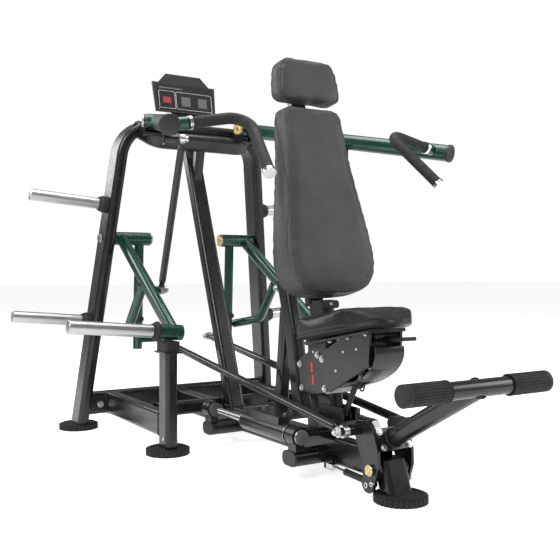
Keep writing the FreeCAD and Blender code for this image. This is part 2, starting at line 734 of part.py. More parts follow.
def seat_pad():
    """Seat cushion: narrow rounded nose, wide rear, higher at the front."""
    half = [(0, -668), (46, -664), (96, -628), (136, -560), (152, -470), (152, -380),
            (138, -306), (96, -272), (0, -266)]
    left = [(-x, y) for x, y in reversed(half) if x > 0]
    curve = Part.BSplineCurve()
    curve.interpolate([V(x, y, 0) for x, y in half + left], PeriodicFlag=True)
    face = Part.Face(Part.Wire([curve.toShape()]))
    block = face.extrude(V(0, 0, 700))
    profile = [(-700, seat_under(-700)), (-700, 548), (-664, 560), (-610, 586), (-550, 588),
               (-470, 566), (-380, 550), (-300, 545), (-250, 536), (-250, seat_under(-250))]
    return block.common(plate_yz(profile, -200, 200)).cut(seat_post(4)).removeSplitter()


def seat_bolts():
    bolts = []
    for name, side in SIDES:
        for spot in guide_spots():
            bolts.append(bolt_head(V(side * PLATE_X[1], spot.y, spot.z), V(side, 0, 0), 8, 5))
        bolts.append(bolt_head(V(side * PLATE_X[1], -326, 417), V(side, 0, 0), 8, 5))
    return group(bolts)


def seat_marks():
    """Two red height marks on the right side plate."""
    x = -PLATE_X[1]
    marks = []
    for z in (330, 372):
        y = -296 + LEAN * (z - 350)
        marks.append(box((x - 0.8, x), (y - 5, y + 5), (z - 16, z + 16)))
    return group(marks)


def release_lever():
    """Flat lever under the seat nose that frees the seat."""
    y, z = LEVER_PIVOT
    blade = bar(V(26, y, z), V(26, y - 150, z + 15), 8, 14, 3)
    paddle = bar(V(26, y - 130, z + 13), V(26, y - 188, z + 19), 54, 12, 5)
    hub = rod(V(18, y, z), V(34, y, z), 11)
    return fused([blade, paddle, hub]).cut(rod(V(0, y, z), V(60, y, z), 6 + FIT))


# ---- seat gas spring ------------------------------------------------------------------------
def spring_points():
    low = V(0, SPRING_LOW[0], SPRING_LOW[1])
    high = V(0, SPRING_TOP[0], SPRING_TOP[1])
    return low, high, (high - low).normalize()


def seat_spring_tube():
    low, high, run = spring_points()
    eye = rod(low - V(7, 0, 0), low + V(7, 0, 0), 10)
    barrel = rod(low + run * 7, low + run * 118, 10)
    pin = rod(low - V(19, 0, 0), low + V(19, 0, 0), 5 - FIT)
    body = fused([eye, barrel, pin])
    return body.cut(rod(low + run * 22, low + run * 119, 5 + FIT))


def seat_spring_rod():
    low, high, run = spring_points()
    stem = rod(low + run * 80, high - run * 12, 5)
    eye = rod(high - V(6, 0, 0), high + V(6, 0, 0), 15)
    return fused([stem, eye]).cut(rod(high - V(9, 0, 0), high + V(9, 0, 0), 9.5))


# ---- press arms -----------------------------------------------------------------------------
def arm_line(side):
    pivot = at(side, HEAD_PIVOT)
    end = at(side, ARM_END)
    return pivot, end, (end - pivot).normalize()


def grip_points(side):
    return [at(side, GRIP_RING), at(side, GRIP_APEX), at(side, GRIP_END)]


def press_arm(side):
    """Green tube with its pivot hub, grip stub and the lug that carries the link rod."""
    pivot, end, run = arm_line(side)
    axis = press_axis(side)
    arm = rod(pivot, end, ARM_R).cut(rod(pivot, end, ARM_R - WALL))
    hub = rod(pivot - axis * HUB_HALF, pivot + axis * HUB_HALF, HUB_R)
    ring = at(side, GRIP_RING)
    root = pivot + run * ((end - pivot).Length * 0.945)
    core = rod(pivot, end, ARM_R - WALL)
    along = (at(side, GRIP_APEX) - ring).normalize()
    stub = rod(root, ring, 21).cut(core).cut(rod(ring, ring + along * 40, 45))
    top = at(side, LINK_TOP)
    reach = (top - pivot).dot(run)
    above = pivot + run * reach
    outward = (above - top).dot(axis)
    foot = top + axis * (outward - 4)
    low_edge, high_edge = foot - V(0, 0, 20), V(foot.x, foot.y, above.z - 8)
    lug = bar(low_edge, high_edge, 46, 8, 2, V(axis.y, -axis.x, 0)).cut(core)
    spacer = rod(top + axis * 12, foot, 13)
    pin = rod(top - axis * 14, top + axis * 12, 6)
    head = rod(top - axis * 20, top - axis * 12, 11)
    body = fused([arm, hub, stub, lug, spacer, pin, head])
    return body.cut(rod(pivot - axis * 60, pivot + axis * 60, HUB_PIN_R + FIT))


def press_grip(side):
    """Rubber grip on the bent handle and the plastic cap on the arm's end."""
    points = grip_points(side)
    grip = bent_bar(points, 62, GRIP_R)
    pivot, end, run = arm_line(side)
    cap = rod(end, end + run * 10, ARM_R + 2)
    return group([grip, cap])


def grip_trim(side):
    """Chrome ring at the grip's root and chrome plug at its free end."""
    ring, apex, end = grip_points(side)
    along = (apex - ring).normalize()
    down = (end - apex).normalize()
    collar = rod(ring, ring + along * 11, GRIP_R + 4).cut(rod(ring, ring + along * 11, GRIP_R))
    return group([collar, rod(end, end + down * 12, GRIP_R + 1.5)])


def link_frame(side):
    top, low = at(side, LINK_TOP), at(side, LINK_LOW)
    return top, low, (low - top).normalize()


def link_rod(side):
    """Rod from the press arm to the weight arm, with an eye at each end."""
    top, low, run = link_frame(side)
    axis = press_axis(side)
    body = pipe(top + run * 44, low - run * 44, LINK_R)
    neck = rod(top + run * 12, low - run * 14, 8)
    cones = [taper(top + run * 20, top + run * 46, 9, LINK_R),
             taper(low - run * 22, low - run * 46, 9, LINK_R)]
    upper = rod(top - axis * 8, top + axis * 8, 17)
    lower = rod(low - V(7, 0, 0), low + V(7, 0, 0), 19)
    solid = fused([body, neck, upper, lower] + cones)
    solid = solid.cut(rod(top - axis * 20, top + axis * 20, LINK_EYE_BORE))
    return solid.cut(rod(low - V(20, 0, 0), low + V(20, 0, 0), 11))


# ---- weight arms ----------------------------------------------------------------------------
def weight_arm(side):
    """Outer hub, diagonal tube, cross tube, curved brace and the link rod's pin."""
    y, z = WEIGHT_PIVOT
    hub = rod(V(side * OUTER_HUB[0], y, z), V(side * OUTER_HUB[1], y, z), 30)
    x = side * DIAGONAL_X * 0.935
    cross = at(side, HORN_AT)
    axis = horn_axis(side)
    cross_low, cross_high = cross - axis * 44, cross + axis * 54
    top = V(x, y, z)
    bottom = V(side * 330, cross.y, cross.z)
    diagonal = tube(top, bottom, 40, 58, 19.5)
    brace_points = [V(side * 322, 580, 640), V(side * 326, 720, 470), V(side * 275, 880, 440)]
    brace = bent_bar(brace_points, 70, 20).cut(bent_bar(brace_points, 70, 17))
    brace = brace.cut(bar(top, bottom, 34, 52, 16.5))
    plug = rod(brace_points[-1] - (brace_points[-1] - brace_points[-2]).normalize() * 5, brace_points[-1], 19)
    shell = rod(cross_low, cross_high, 30)
    low = at(side, LINK_LOW)
    pin = rod(V(side * 310, low.y, low.z), V(side * 272, low.y, low.z), 6)
    boss = rod(V(side * 310, low.y, low.z), V(side * 298, low.y, low.z), 15)
    head = rod(V(side * 272, low.y, low.z), V(side * 264, low.y, low.z), 14)
    body = fused([hub, diagonal, brace, plug, shell, pin, boss, head])
    return body.cut(rod(V(side * 260, y, z), V(side * 370, y, z), SHAFT_R + FIT))


def weight_horn(side):
    cross = at(side, HORN_AT)
    axis = horn_axis(side)
    sleeve = rod(cross + axis * 74, cross + axis * 398, HORN_R)
    return sleeve.cut(rod(cross + axis * 74, cross + axis * 390, HORN_R - 4))


def weight_collar(side):
    """Rubber collar behind the plates on the loading horn."""
    cross = at(side, HORN_AT)
    axis = horn_axis(side)
    flange = rod(cross + axis * 54.1, cross + axis * 62, 38)
    cone = taper(cross + axis * 62, cross + axis * 73.9, 38, 30)
    return fused([flange, cone])


def lever_y(z):
    return WEIGHT_PIVOT[0] + LEVER_LEAN * (WEIGHT_PIVOT[1] - z)


def assist_lever(side):
    """Inner hub with the hanging tube that the tie rod pulls."""
    y, z = WEIGHT_PIVOT
    x = side * LEVER_X
    hub = rod(V(side * INNER_HUB[0], y, z), V(side * INNER_HUB[1], y, z), 30)
    hanger = rod(V(x, y, z), V(x, lever_y(LEVER_BOTTOM), LEVER_BOTTOM), LEVER_R)
    hanger = hanger.cut(rod(V(x, lever_y(800), 800), V(x, lever_y(LEVER_BOTTOM + 4), LEVER_BOTTOM + 4),
                            LEVER_R - WALL))
    tie_y, tie_z = TIE_REAR
    arm = rod(V(x, tie_y, tie_z), V(side * (TIE_X + 18), tie_y, tie_z), 15)
    pin = rod(V(side * (TIE_X + 18), tie_y, tie_z), V(side * (TIE_X - 16), tie_y, tie_z), 6)
    head = rod(V(side * (TIE_X - 22), tie_y, tie_z), V(side * (TIE_X - 16), tie_y, tie_z), 13)
    bumper_z = 482
    bumper = rod(V(x, lever_y(bumper_z) - 20, bumper_z), V(x, lever_y(bumper_z) - 38, bumper_z), 13)
    body = fused([hub, hanger, arm, pin, head, bumper])
    return body.cut(rod(V(side * 160, y, z), V(side * 280, y, z), SHAFT_R + FIT))


def tie_rod(side):
    """Long rod from the foot rocker to the assist lever."""
    x = side * TIE_X
    rear, front = V(x, TIE_REAR[0], TIE_REAR[1]), V(x, TIE_FRONT[0], TIE_FRONT[1])
    run = (rear - front).normalize()
    body = pipe(front + run * 46, rear - run * 46, TIE_R)
    neck = rod(front + run * 12, rear - run * 14, 8)
    cones = [taper(front + run * 22, front + run * 48, 9, TIE_R),
             taper(rear - run * 22, rear - run * 48, 9, TIE_R)]
    near_eye = rod(front - V(9, 0, 0), front + V(9, 0, 0), 20)
    far_eye = rod(rear - V(7, 0, 0), rear + V(7, 0, 0), 19)
    solid = fused([body, neck, near_eye, far_eye] + cones)
    solid = solid.cut(rod(front - V(20, 0, 0), front + V(20, 0, 0), 8 + FIT))
    return solid.cut(rod(rear - V(20, 0, 0), rear + V(20, 0, 0), 11.5))


# ---- foot rocker ----------------------------------------------------------------------------
def rocker_plates():
    """Two swinging side plates joined by the sloped mounting plate."""
    outline = [(-536, 214), (-548, 232), (-606, 242), (-626, 228), (-654, 152), (-656, 100),
               (-630, 30), (-612, 18), (-590, 20), (-576, 38), (-584, 96), (-540, 190)]
    parts = []
    for name, side in SIDES:
        low, high = sorted((side * ROCKER_PLATE[0], side * ROCKER_PLATE[1]))
        parts.append(plate_yz(outline, low, high))
    start, end = V(0, STEM_LOW[0], STEM_LOW[1]), V(0, STEM_END[0], STEM_END[1])
    run = (end - start).normalize()
    mount = bar(start - run * 10, start, 2 * ROCKER_PLATE[0], 72, 4)
    parts.append(mount)
    for name, side in SIDES:
        x = side * ROCKER_PLATE[1]
        y, z = TIE_FRONT
        parts.append(rod(V(x, y, z), V(side * (TIE_X - 11), y, z), 16))
        parts.append(rod(V(x, y, z), V(side * (TIE_X + 14), y, z), 8))
        parts.append(rod(V(side * (TIE_X + 14), y, z), V(side * (TIE_X + 24), y, z), 14))
    y, z = LOBE
    parts.append(rod(V(-ROCKER_PLATE[1] - 6, y, z), V(-34, y, z), 5))
    body = fused(parts)
    y, z = ROCKER_PIVOT
    return body.cut(rod(V(-90, y, z), V(90, y, z), 12.5 + FIT))


def foot_bar():
    """T-shaped push bar bolted to the rocker."""
    start, end = V(0, STEM_LOW[0], STEM_LOW[1]), V(0, STEM_END[0], STEM_END[1])
    run = (end - start).normalize()
    flange = bar(start + run * 0.2, start + run * 9, 122, 72, 4)
    stem = rod(start + run * 8, end, 29)
    cross = rod(V(-FOOT_BAR_HALF, end.y, end.z), V(FOOT_BAR_HALF, end.y, end.z), FOOT_BAR_R)
    return fused([flange, stem, cross])


def foot_sleeves():
    """Ribbed rubber sleeves on both ends of the push bar."""
    sleeves = []
    y, z = STEM_END
    for name, side in SIDES:
        sleeve = rod(V(side * SLEEVE_START, y, z), V(side * (FOOT_BAR_HALF + 7), y, z), SLEEVE_R)
        ribs = []
        for i in range(24):
            angle = 2 * math.pi * i / 24
            ry, rz = y + SLEEVE_R * math.cos(angle), z + SLEEVE_R * math.sin(angle)
            ribs.append(rod(V(side * 100, ry, rz), V(side * 254, ry, rz), 1.6))
        core = rod(V(side * 90, y, z), V(side * FOOT_BAR_HALF, y, z), FOOT_BAR_R)
        sleeves.append(sleeve.cut(Part.makeCompound(ribs)).cut(core))
    return group(sleeves)


def rocker_bolts():
    start, end = V(0, STEM_LOW[0], STEM_LOW[1]), V(0, STEM_END[0], STEM_END[1])
    run = (end - start).normalize()
    up = V(1, 0, 0).cross(run)
    bolts = []
    for x in (-50, 50):
        for lift in (-25, 25):
            bolts.append(bolt_head(start + run * 9 + V(x, 0, 0) + up * lift, run, 8, 6))
    return group(bolts)


def damper_points():
    lobe = V(DAMPER_X, LOBE[0], LOBE[1])
    anchor = V(DAMPER_X, DAMPER_ANCHOR[0], DAMPER_ANCHOR[1])
    return lobe, anchor, (anchor - lobe).normalize()


def damper_tube():
    """Cylinder of the return spring, on the rocker's lobe pin."""
    lobe, anchor, run = damper_points()
    eye = rod(lobe - V(7, 0, 0), lobe + V(7, 0, 0), 11)
    barrel = rod(lobe + run * 9, lobe + run * 140, 11)
    body = fused([eye, barrel]).cut(rod(lobe + run * 24, lobe + run * 141, 5 + FIT))
    return body.cut(rod(lobe - V(9, 0, 0), lobe + V(9, 0, 0), 5 + FIT))


def damper_rod():
    """Piston rod that ends in a clevis around the frame's anchor lug."""
    lobe, anchor, run = damper_points()
    stem = rod(lobe + run * 90, anchor - run * 20, 5)
    bridge = box((DAMPER_X - 13, DAMPER_X + 13), (anchor.y - 26, anchor.y - 17),
                 (anchor.z - 8, anchor.z + 8))
    cheeks = [box((DAMPER_X + x, DAMPER_X + x + 5), (anchor.y - 26, anchor.y + 9),
                  (anchor.z - 8, anchor.z + 8)) for x in (-13, 8)]
    pin = rod(anchor - V(14, 0, 0), anchor + V(14, 0, 0), 4)
    return fused([stem, bridge, pin] + cheeks)


# ---- write every sub-part -------------------------------------------------------------------
def all_parts():
    parts = {
        "rear_arch": rear_arch(), "rear_crossbar": rear_crossbar(), "post_bumpers": post_bumpers(),
        "floor_pads": floor_pads(), "main_beam": main_beam(), "cross_member": cross_member(),
        "front_column": front_column(), "end_caps": end_caps(), "guide_rods": guide_rods(),
        "rod_holders": rod_holders(), "rod_bumpers": rod_bumpers(), "spine": spine(),
        "head_bow": head_bow(), "pivot_shafts": pivot_shafts(), "storage_horns": storage_horns(),
        "horn_collars": horn_collars(), "placard": placard(), "placard_bracket": placard_bracket(),
        "frame_bolts": frame_bolts(), "bearing_housings": bearing_housings(),
        "carriage_frame": carriage_frame(), "back_pad": back_pad(), "head_pad": head_pad(),
        "pad_boards": pad_boards(), "seat_plates": seat_plates(), "seat_guides": seat_guides(),
        "seat_cover": seat_cover(), "seat_pan": seat_pan(), "seat_pad": seat_pad(),
        "seat_bolts": seat_bolts(), "seat_marks": seat_marks(), "release_lever": release_lever(),
        "seat_spring_tube": seat_spring_tube(), "seat_spring_rod": seat_spring_rod(),
        "rocker_plates": rocker_plates(), "foot_bar": foot_bar(), "foot_sleeves": foot_sleeves(),
        "rocker_bolts": rocker_bolts(), "damper_tube": damper_tube(), "damper_rod": damper_rod(),
    }
    for name, side in SIDES:
        parts["side_frame_" + name] = side_frame(side)
        parts["press_arm_" + name] = press_arm(side)
        parts["press_grip_" + name] = press_grip(side)
        parts["grip_trim_" + name] = grip_trim(side)
        parts["link_rod_" + name] = link_rod(side)
        parts["weight_arm_" + name] = weight_arm(side)
        parts["weight_horn_" + name] = weight_horn(side)
        parts["weight_collar_" + name] = weight_collar(side)
        parts["assist_lever_" + name] = assist_lever(side)
        parts["tie_rod_" + name] = tie_rod(side)
    return parts


os.makedirs("parts", exist_ok=True)
for name, shape in all_parts().items():
    shape.exportStep("parts/" + name + ".step")
    print(name, "solids", len(shape.Solids), "valid", shape.isValid())
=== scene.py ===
"""Looks of the plate-loaded shoulder press machine: finishes, upholstery, small fittings and studio.

Metres, in the CAD frame: +Z up, the user faces -Y, the user's left is +X.  A side of -1 is the right.
"""

import json
import math

import bmesh
import bpy
from mathutils import Matrix, Vector
from mathutils.bvhtree import BVHTree


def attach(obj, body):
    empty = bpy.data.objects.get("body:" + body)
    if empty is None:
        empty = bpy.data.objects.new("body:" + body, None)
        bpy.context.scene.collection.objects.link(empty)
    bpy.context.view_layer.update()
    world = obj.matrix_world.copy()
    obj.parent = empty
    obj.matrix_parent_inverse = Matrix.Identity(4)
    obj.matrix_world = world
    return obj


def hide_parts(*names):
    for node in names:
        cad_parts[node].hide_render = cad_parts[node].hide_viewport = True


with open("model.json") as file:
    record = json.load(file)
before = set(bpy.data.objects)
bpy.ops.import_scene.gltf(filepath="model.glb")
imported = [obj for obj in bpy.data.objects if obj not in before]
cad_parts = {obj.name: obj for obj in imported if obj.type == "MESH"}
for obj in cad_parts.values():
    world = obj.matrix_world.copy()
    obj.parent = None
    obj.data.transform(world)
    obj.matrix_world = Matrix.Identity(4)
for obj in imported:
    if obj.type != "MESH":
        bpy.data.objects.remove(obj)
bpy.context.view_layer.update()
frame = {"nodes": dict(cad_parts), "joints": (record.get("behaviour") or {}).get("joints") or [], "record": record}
nodes = frame["nodes"]
SIDES = (("right", -1), ("left", 1))

# ---- places in the CAD frame; X is given for the user's left --------------------------------
ACROSS, ALONG, UP = (1, 0, 0), (0, 1, 0), (0, 0, 1)
LEAN = 0.16                             # the post and the back pad lean back by this much per height
PAD_UP = Vector((0, LEAN, 1)).normalized()
PAD_BACK = Vector((0, 1, -LEAN)).normalized()
WEIGHT_PIVOT = (0.850, 0.842)           # Y and Z of the weight arms' common axis
ROCKER_PIVOT = (-0.622, 0.092)          # Y and Z of the foot rocker's axis
ROCKER_FACE = 0.0721                    # outer face of a rocker plate
LOBE = (-0.602, 0.042)                  # Y and Z of the return spring's pin
DAMPER_ANCHOR = (-0.376, 0.052)
DAMPER_X = -0.046
STEM_LOW, STEM_END = Vector((0, -0.637, 0.183)), Vector((0, -0.995, 0.385))
STEM_R, PUSH_BAR_R = 0.0302, 0.0253     # weld radii round the stem and the push bar
HEAD_PIVOT, ARM_END = (0.222, 0.665, 1.345), (0.585, -0.273, 1.154)
GRIP_RING, GRIP_APEX, GRIP_END = (0.506, -0.238, 1.172), (0.292, -0.250, 1.214), (0.345, -0.471, 1.006)
LINK_TOP, LINK_LOW = (0.345, 0.145, 1.188), (0.285, 0.480, 0.622)
TIE_FRONT, TIE_REAR = (0.128, -0.560, 0.206), (0.128, 0.868, 0.387)
HORN_AT, HORN_TILT = (0.340, 0.262, 0.466), math.radians(5)
LEG_FOOT, LEG_IN, LEG_LEAN = (0.480, 0.938), 0.1165, 0.1
RAIL_X = 0.345
LEVER_PIVOT = (-0.5, 0.475)             # Y and Z of the release lever's pin


def mirrored(side, point):
    """A point given for the user's left, moved to the wanted side."""
    return Vector((side * point[0], point[1], point[2]))


def seat_under(y):
    """Height of the seat cushion's underside."""
    return 0.462 + 0.19 * (-0.290 - y)


def post_line(z):
    """Y of the seat post's centre line at a height."""
    return -0.252 + LEAN * (z - 0.602)


# ---- materials -----------------------------------------------------------------------------
class Surface:
    """A Principled material with object-space procedural texture helpers."""

    def __init__(self, name):
        self.mat = bpy.data.materials.new(name)
        self.mat.use_nodes = True
        self.tree = self.mat.node_tree
        self.bsdf = self.tree.nodes["Principled BSDF"]
        self.where = self.tree.nodes.new("ShaderNodeTexCoord").outputs["Object"]

    def link(self, a, b):
        self.tree.links.new(a, b)

    def stretched(self, scale):
        node = self.tree.nodes.new("ShaderNodeMapping")
        node.inputs["Scale"].default_value = scale
        self.link(self.where, node.inputs["Vector"])
        return node.outputs["Vector"]

    def noise(self, scale, detail=3.0, rough=0.5, where=None):
        node = self.tree.nodes.new("ShaderNodeTexNoise")
        node.inputs["Scale"].default_value = scale
        node.inputs["Detail"].default_value = detail
        node.inputs["Roughness"].default_value = rough
        self.link(where or self.where, node.inputs["Vector"])
        return node.outputs["Fac"]

    def cells(self, scale, feature="F1"):
        node = self.tree.nodes.new("ShaderNodeTexVoronoi")
        node.feature = feature
        node.inputs["Scale"].default_value = scale
        self.link(self.where, node.inputs["Vector"])
        return node.outputs["Distance"]

    def spread(self, value, low, high, start=0.3, end=0.7):
        node = self.tree.nodes.new("ShaderNodeMapRange")
        node.inputs["From Min"].default_value = start
        node.inputs["From Max"].default_value = end
        node.inputs["To Min"].default_value = low
        node.inputs["To Max"].default_value = high
        self.link(value, node.inputs["Value"])
        return node.outputs["Result"]

    def colours(self, value, dark, light):
        node = self.tree.nodes.new("ShaderNodeValToRGB")
        node.color_ramp.elements[0].position = 0.3
        node.color_ramp.elements[1].position = 0.7
        node.color_ramp.elements[0].color = (*dark, 1)
        node.color_ramp.elements[1].color = (*light, 1)
        self.link(value, node.inputs["Fac"])
        self.link(node.outputs["Color"], self.bsdf.inputs["Base Color"])

    def relief(self, *layers):
        """Bump layers of (height, strength, distance in metres)."""
        last = None
        for height, strength, distance in layers:
            node = self.tree.nodes.new("ShaderNodeBump")
            node.inputs["Strength"].default_value = strength
            node.inputs["Distance"].default_value = distance
            self.link(height, node.inputs["Height"])
            if last is not None:
                self.link(last, node.inputs["Normal"])
            last = node.outputs["Normal"]
        self.link(last, self.bsdf.inputs["Normal"])

    def put(self, **values):
        for name, value in values.items():
            self.bsdf.inputs[name.replace("_", " ")].default_value = value

    def rough(self, value):
        self.link(value, self.bsdf.inputs["Roughness"])


def shade(colour, factor):
    return tuple(c * factor for c in colour)


def powder_coat(name, colour, rough, metal=0.0, coat=0.1, peel=0.12):
    """Sprayed powder coat: orange-peel skin, faint mottling, metal fleck when asked for."""
    s = Surface(name)
    s.colours(s.noise(9.0, 4.0), shade(colour, 0.9), shade(colour, 1.1))
    s.rough(s.spread(s.noise(34.0, 3.0), rough - 0.05, rough + 0.07))
    s.put(Metallic=metal, Coat_Weight=coat, Coat_Roughness=0.16, Specular_IOR_Level=0.4)
    s.relief((s.noise(260.0, 2.0), peel, 0.0003), (s.noise(1500.0, 1.0), peel * 0.5, 0.0001))
    return s.mat


def bright_metal(name, colour, rough, along=(1, 1, 1)):
    """Turned or plated steel with fine lines across its length and faint smudges."""
    s = Surface(name)
    s.colours(s.noise(14.0, 4.0), shade(colour, 0.93), shade(colour, 1.03))
    lines = s.noise(1.0, 4.0, where=s.stretched(tuple(900.0 * a for a in along)))
    s.rough(s.spread(s.noise(26.0, 4.0), rough * 0.88, rough * 1.15))
    s.put(Metallic=1.0)
    s.relief((lines, 0.03, 0.0001))
    return s.mat


def rubber(name, colour, rough=0.72):
    s = Surface(name)
    s.colours(s.noise(22.0, 4.0), shade(colour, 0.75), shade(colour, 1.3))
    s.rough(s.spread(s.noise(60.0, 3.0), rough - 0.1, rough + 0.08))
    s.relief((s.noise(700.0, 3.0), 0.35, 0.0004), (s.noise(90.0, 2.0), 0.12, 0.0008))
    return s.mat


def plastic(name, colour, rough=0.45):
    s = Surface(name)
    s.colours(s.noise(30.0, 3.0), shade(colour, 0.9), shade(colour, 1.12))
    s.rough(s.spread(s.noise(80.0, 3.0), rough - 0.06, rough + 0.06))
    s.relief((s.noise(1100.0, 2.0), 0.2, 0.0002))
    return s.mat


def leather(name, colour, rough=0.5):
    """Grained upholstery vinyl: pebbled cells, creases between them, soft sheen."""
    s = Surface(name)
    s.colours(s.noise(11.0, 5.0), shade(colour, 0.88), shade(colour, 1.12))
    s.rough(s.spread(s.noise(45.0, 4.0), rough - 0.06, rough + 0.1))
    pebbles = s.cells(560.0, "SMOOTH_F1")
    creases = s.cells(300.0, "DISTANCE_TO_EDGE")
    s.put(Sheen_Weight=0.02, Sheen_Roughness=0.5, Specular_IOR_Level=0.4)
    s.relief((s.noise(16.0, 2.0), 0.15, 0.003), (pebbles, 0.3, 0.0005), (creases, 0.25, 0.0004))
    return s.mat


def stained_board(name):
    s = Surface(name)
    grain = s.noise(1.0, 5.0, where=s.stretched((180.0, 40.0, 12.0)))
    s.colours(grain, (0.03, 0.022, 0.016), (0.075, 0.055, 0.038))
    s.rough(s.spread(grain, 0.55, 0.75))
    s.relief((grain, 0.2, 0.0004))
    return s.mat


FRAME_TONE = (0.0066, 0.0067, 0.0073)
GREEN_TONE = (0.008, 0.056, 0.032)
M = {
    "frame_paint": powder_coat("frame_paint", FRAME_TONE, 0.29, 0.0, 0.3, 0.03),
    "green_paint": powder_coat("green_paint", GREEN_TONE, 0.27, 0.35, 0.6, 0.01),
    "housing_paint": powder_coat("housing_paint", (0.013, 0.013, 0.014), 0.3, 0.1, 0.3, 0.08),
    "chrome": bright_metal("chrome", (0.72, 0.73, 0.74), 0.2, (1.0, 0.02, 1.0)),
    "horn_chrome": bright_metal("horn_chrome", (0.52, 0.525, 0.53), 0.34, (0.02, 1.0, 1.0)),
    "steel": bright_metal("steel", (0.55, 0.55, 0.56), 0.30),
    "zinc": bright_metal("zinc", (0.62, 0.62, 0.63), 0.28),
    "black_rubber": rubber("black_rubber", (0.009, 0.009, 0.0095)),
    "grey_rubber": rubber("grey_rubber", (0.05, 0.05, 0.052), 0.6),
    "black_plastic": plastic("black_plastic", (0.016, 0.016, 0.017)),
    "white_nylon": plastic("white_nylon", (0.6, 0.6, 0.58)),
    "yellow_seal": plastic("yellow_seal", (0.72, 0.50, 0.03), 0.35),
    "red_mark": plastic("red_mark", (0.62, 0.012, 0.012), 0.3),
    "print_white": plastic("print_white", (0.62, 0.62, 0.62), 0.5),
    "print_grey": plastic("print_grey", (0.10, 0.10, 0.105), 0.5),
    "print_black": plastic("print_black", (0.006, 0.006, 0.0062), 0.4),
    "print_red": plastic("print_red", (0.33, 0.03, 0.035), 0.5),
    "pad_leather": leather("pad_leather", (0.046, 0.0462, 0.0475), 0.5),
    "seat_leather": leather("seat_leather", (0.004, 0.004, 0.0045), 0.40),
    "seam_thread": plastic("seam_thread", (0.020, 0.020, 0.022), 0.7),
    "board": stained_board("board"),
}
HORN_NODES = ("storage_horns", "weight_horn_left", "weight_horn_right")
FINISH_OF_NODE = dict.fromkeys(HORN_NODES, "horn_chrome")


def paint_nodes():
    """Every CAD node takes the finish of its slot in the record."""
    for part in frame["record"]["subparts"]:
        node = nodes[part["node"]]
        finish = FINISH_OF_NODE.get(part["node"], part["material_slot"])
        node.data.materials.clear()
        node.data.materials.append(M[finish])


def paint_faces(node_name, finish, test):
    """Give the faces whose centre passes the test their own finish."""
    mesh = nodes[node_name].data
    mesh.materials.append(M[finish])
    index = len(mesh.materials) - 1
    for face in mesh.polygons:
        if test(face.center):
            face.material_index = index


# ---- mesh helpers --------------------------------------------------------------------------
def place(name, mesh, finish, body, smooth=True):
    """Finish a mesh piece, let it ride on a CAD body and return it."""
    mesh.materials.append(M[finish])
    piece = bpy.data.objects.new(name, mesh)
    bpy.context.scene.collection.objects.link(piece)
    if smooth:
        for face in mesh.polygons:
            face.use_smooth = True
    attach(piece, body)
    return piece


def basis(axis):
    z = Vector(axis).normalized()
    hint = Vector((0, 0, 1)) if abs(z.z) < 0.9 else Vector((1, 0, 0))
    x = hint.cross(z).normalized()
    return x, z.cross(x), z


def lathe_mesh(name, start, axis, profile, steps=40, sides=None):
    """Solid of revolution from (radius, distance along) pairs, bottom to top; sides=6 makes a hexagon."""
    x, y, z = basis(axis)
    start = Vector(start)
    count = sides or steps
    verts, faces = [], []
    for radius, along in profile:
        for i in range(count):
            turn = 2 * math.pi * i / count
            verts.append(start + z * along + (x * math.cos(turn) + y * math.sin(turn)) * radius)
    for row in range(len(profile) - 1):
        for i in range(count):
            j = (i + 1) % count
            faces.append((row * count + i, row * count + j, (row + 1) * count + j, (row + 1) * count + i))
    faces.append(tuple(reversed(range(count))))
    faces.append(tuple((len(profile) - 1) * count + i for i in range(count)))
    mesh = bpy.data.meshes.new(name)
    mesh.from_pydata(verts, [], faces)
    mesh.update()
    return mesh


def lathe(name, start, axis, profile, finish, body, steps=40):
    piece = place(name, lathe_mesh(name, start, axis, profile, steps), finish, body)
    mark_sharp(piece)
    return piece


def mark_sharp(piece, degrees=35):
    mesh = piece.data
    work = bmesh.new()
    work.from_mesh(mesh)
    for edge in work.edges:
        if len(edge.link_faces) == 2 and edge.calc_face_angle(0) > math.radians(degrees):
            edge.smooth = False
    work.to_mesh(mesh)
    work.free()


def ring_profile(r_out, height, edge=0.0008):
    return [(r_out - edge, 0), (r_out, edge), (r_out, height - edge), (r_out - edge, height)]


def disc(name, start, axis, radius, height, finish, body, edge=0.0008):
    return lathe(name, start, axis, ring_profile(radius, height, edge), finish, body)


def annulus(name, start, axis, r_in, r_out, height, finish, body, steps=40):
    """Flat ring with softened edges."""
    x, y, z = basis(axis)
    start = Vector(start)
    edge = min(0.0006, height * 0.3)
    loop = [(r_in, 0), (r_out, 0), (r_out, height - edge), (r_out - edge, height),
            (r_in + edge, height), (r_in, height - edge)]
    verts, faces = [], []
    for i in range(steps):
        turn = 2 * math.pi * i / steps
        out = x * math.cos(turn) + y * math.sin(turn)
        for radius, along in loop:
            verts.append(start + z * along + out * radius)
    n = len(loop)
    for i in range(steps):
        j = (i + 1) % steps
        for k in range(n):
            m = (k + 1) % n
            faces.append((i * n + k, j * n + k, j * n + m, i * n + m))
    mesh = bpy.data.meshes.new(name)
    mesh.from_pydata(verts, [], faces)
    mesh.update()
    piece = place(name, mesh, finish, body)
    mark_sharp(piece)
    return piece


def hex_bolt(name, start, axis, radius, height, body, finish="zinc", washer=True):
    """Hexagon head with a chamfered top, a domed face and a washer."""
    z = Vector(axis).normalized()
    if washer:
        disc(name + "_washer", start, z, radius * 1.5, radius * 0.18, finish, body, radius * 0.05)
        start = Vector(start) + z * radius * 0.18
    profile = [(radius, 0), (radius, height * 0.82), (radius * 0.86, height)]
    place(name, lathe_mesh(name, start, z, profile, sides=6), finish, body, smooth=False)
    top = Vector(start) + z * height
    disc(name + "_face", top, z, radius * 0.72, radius * 0.06, finish, body, radius * 0.03)


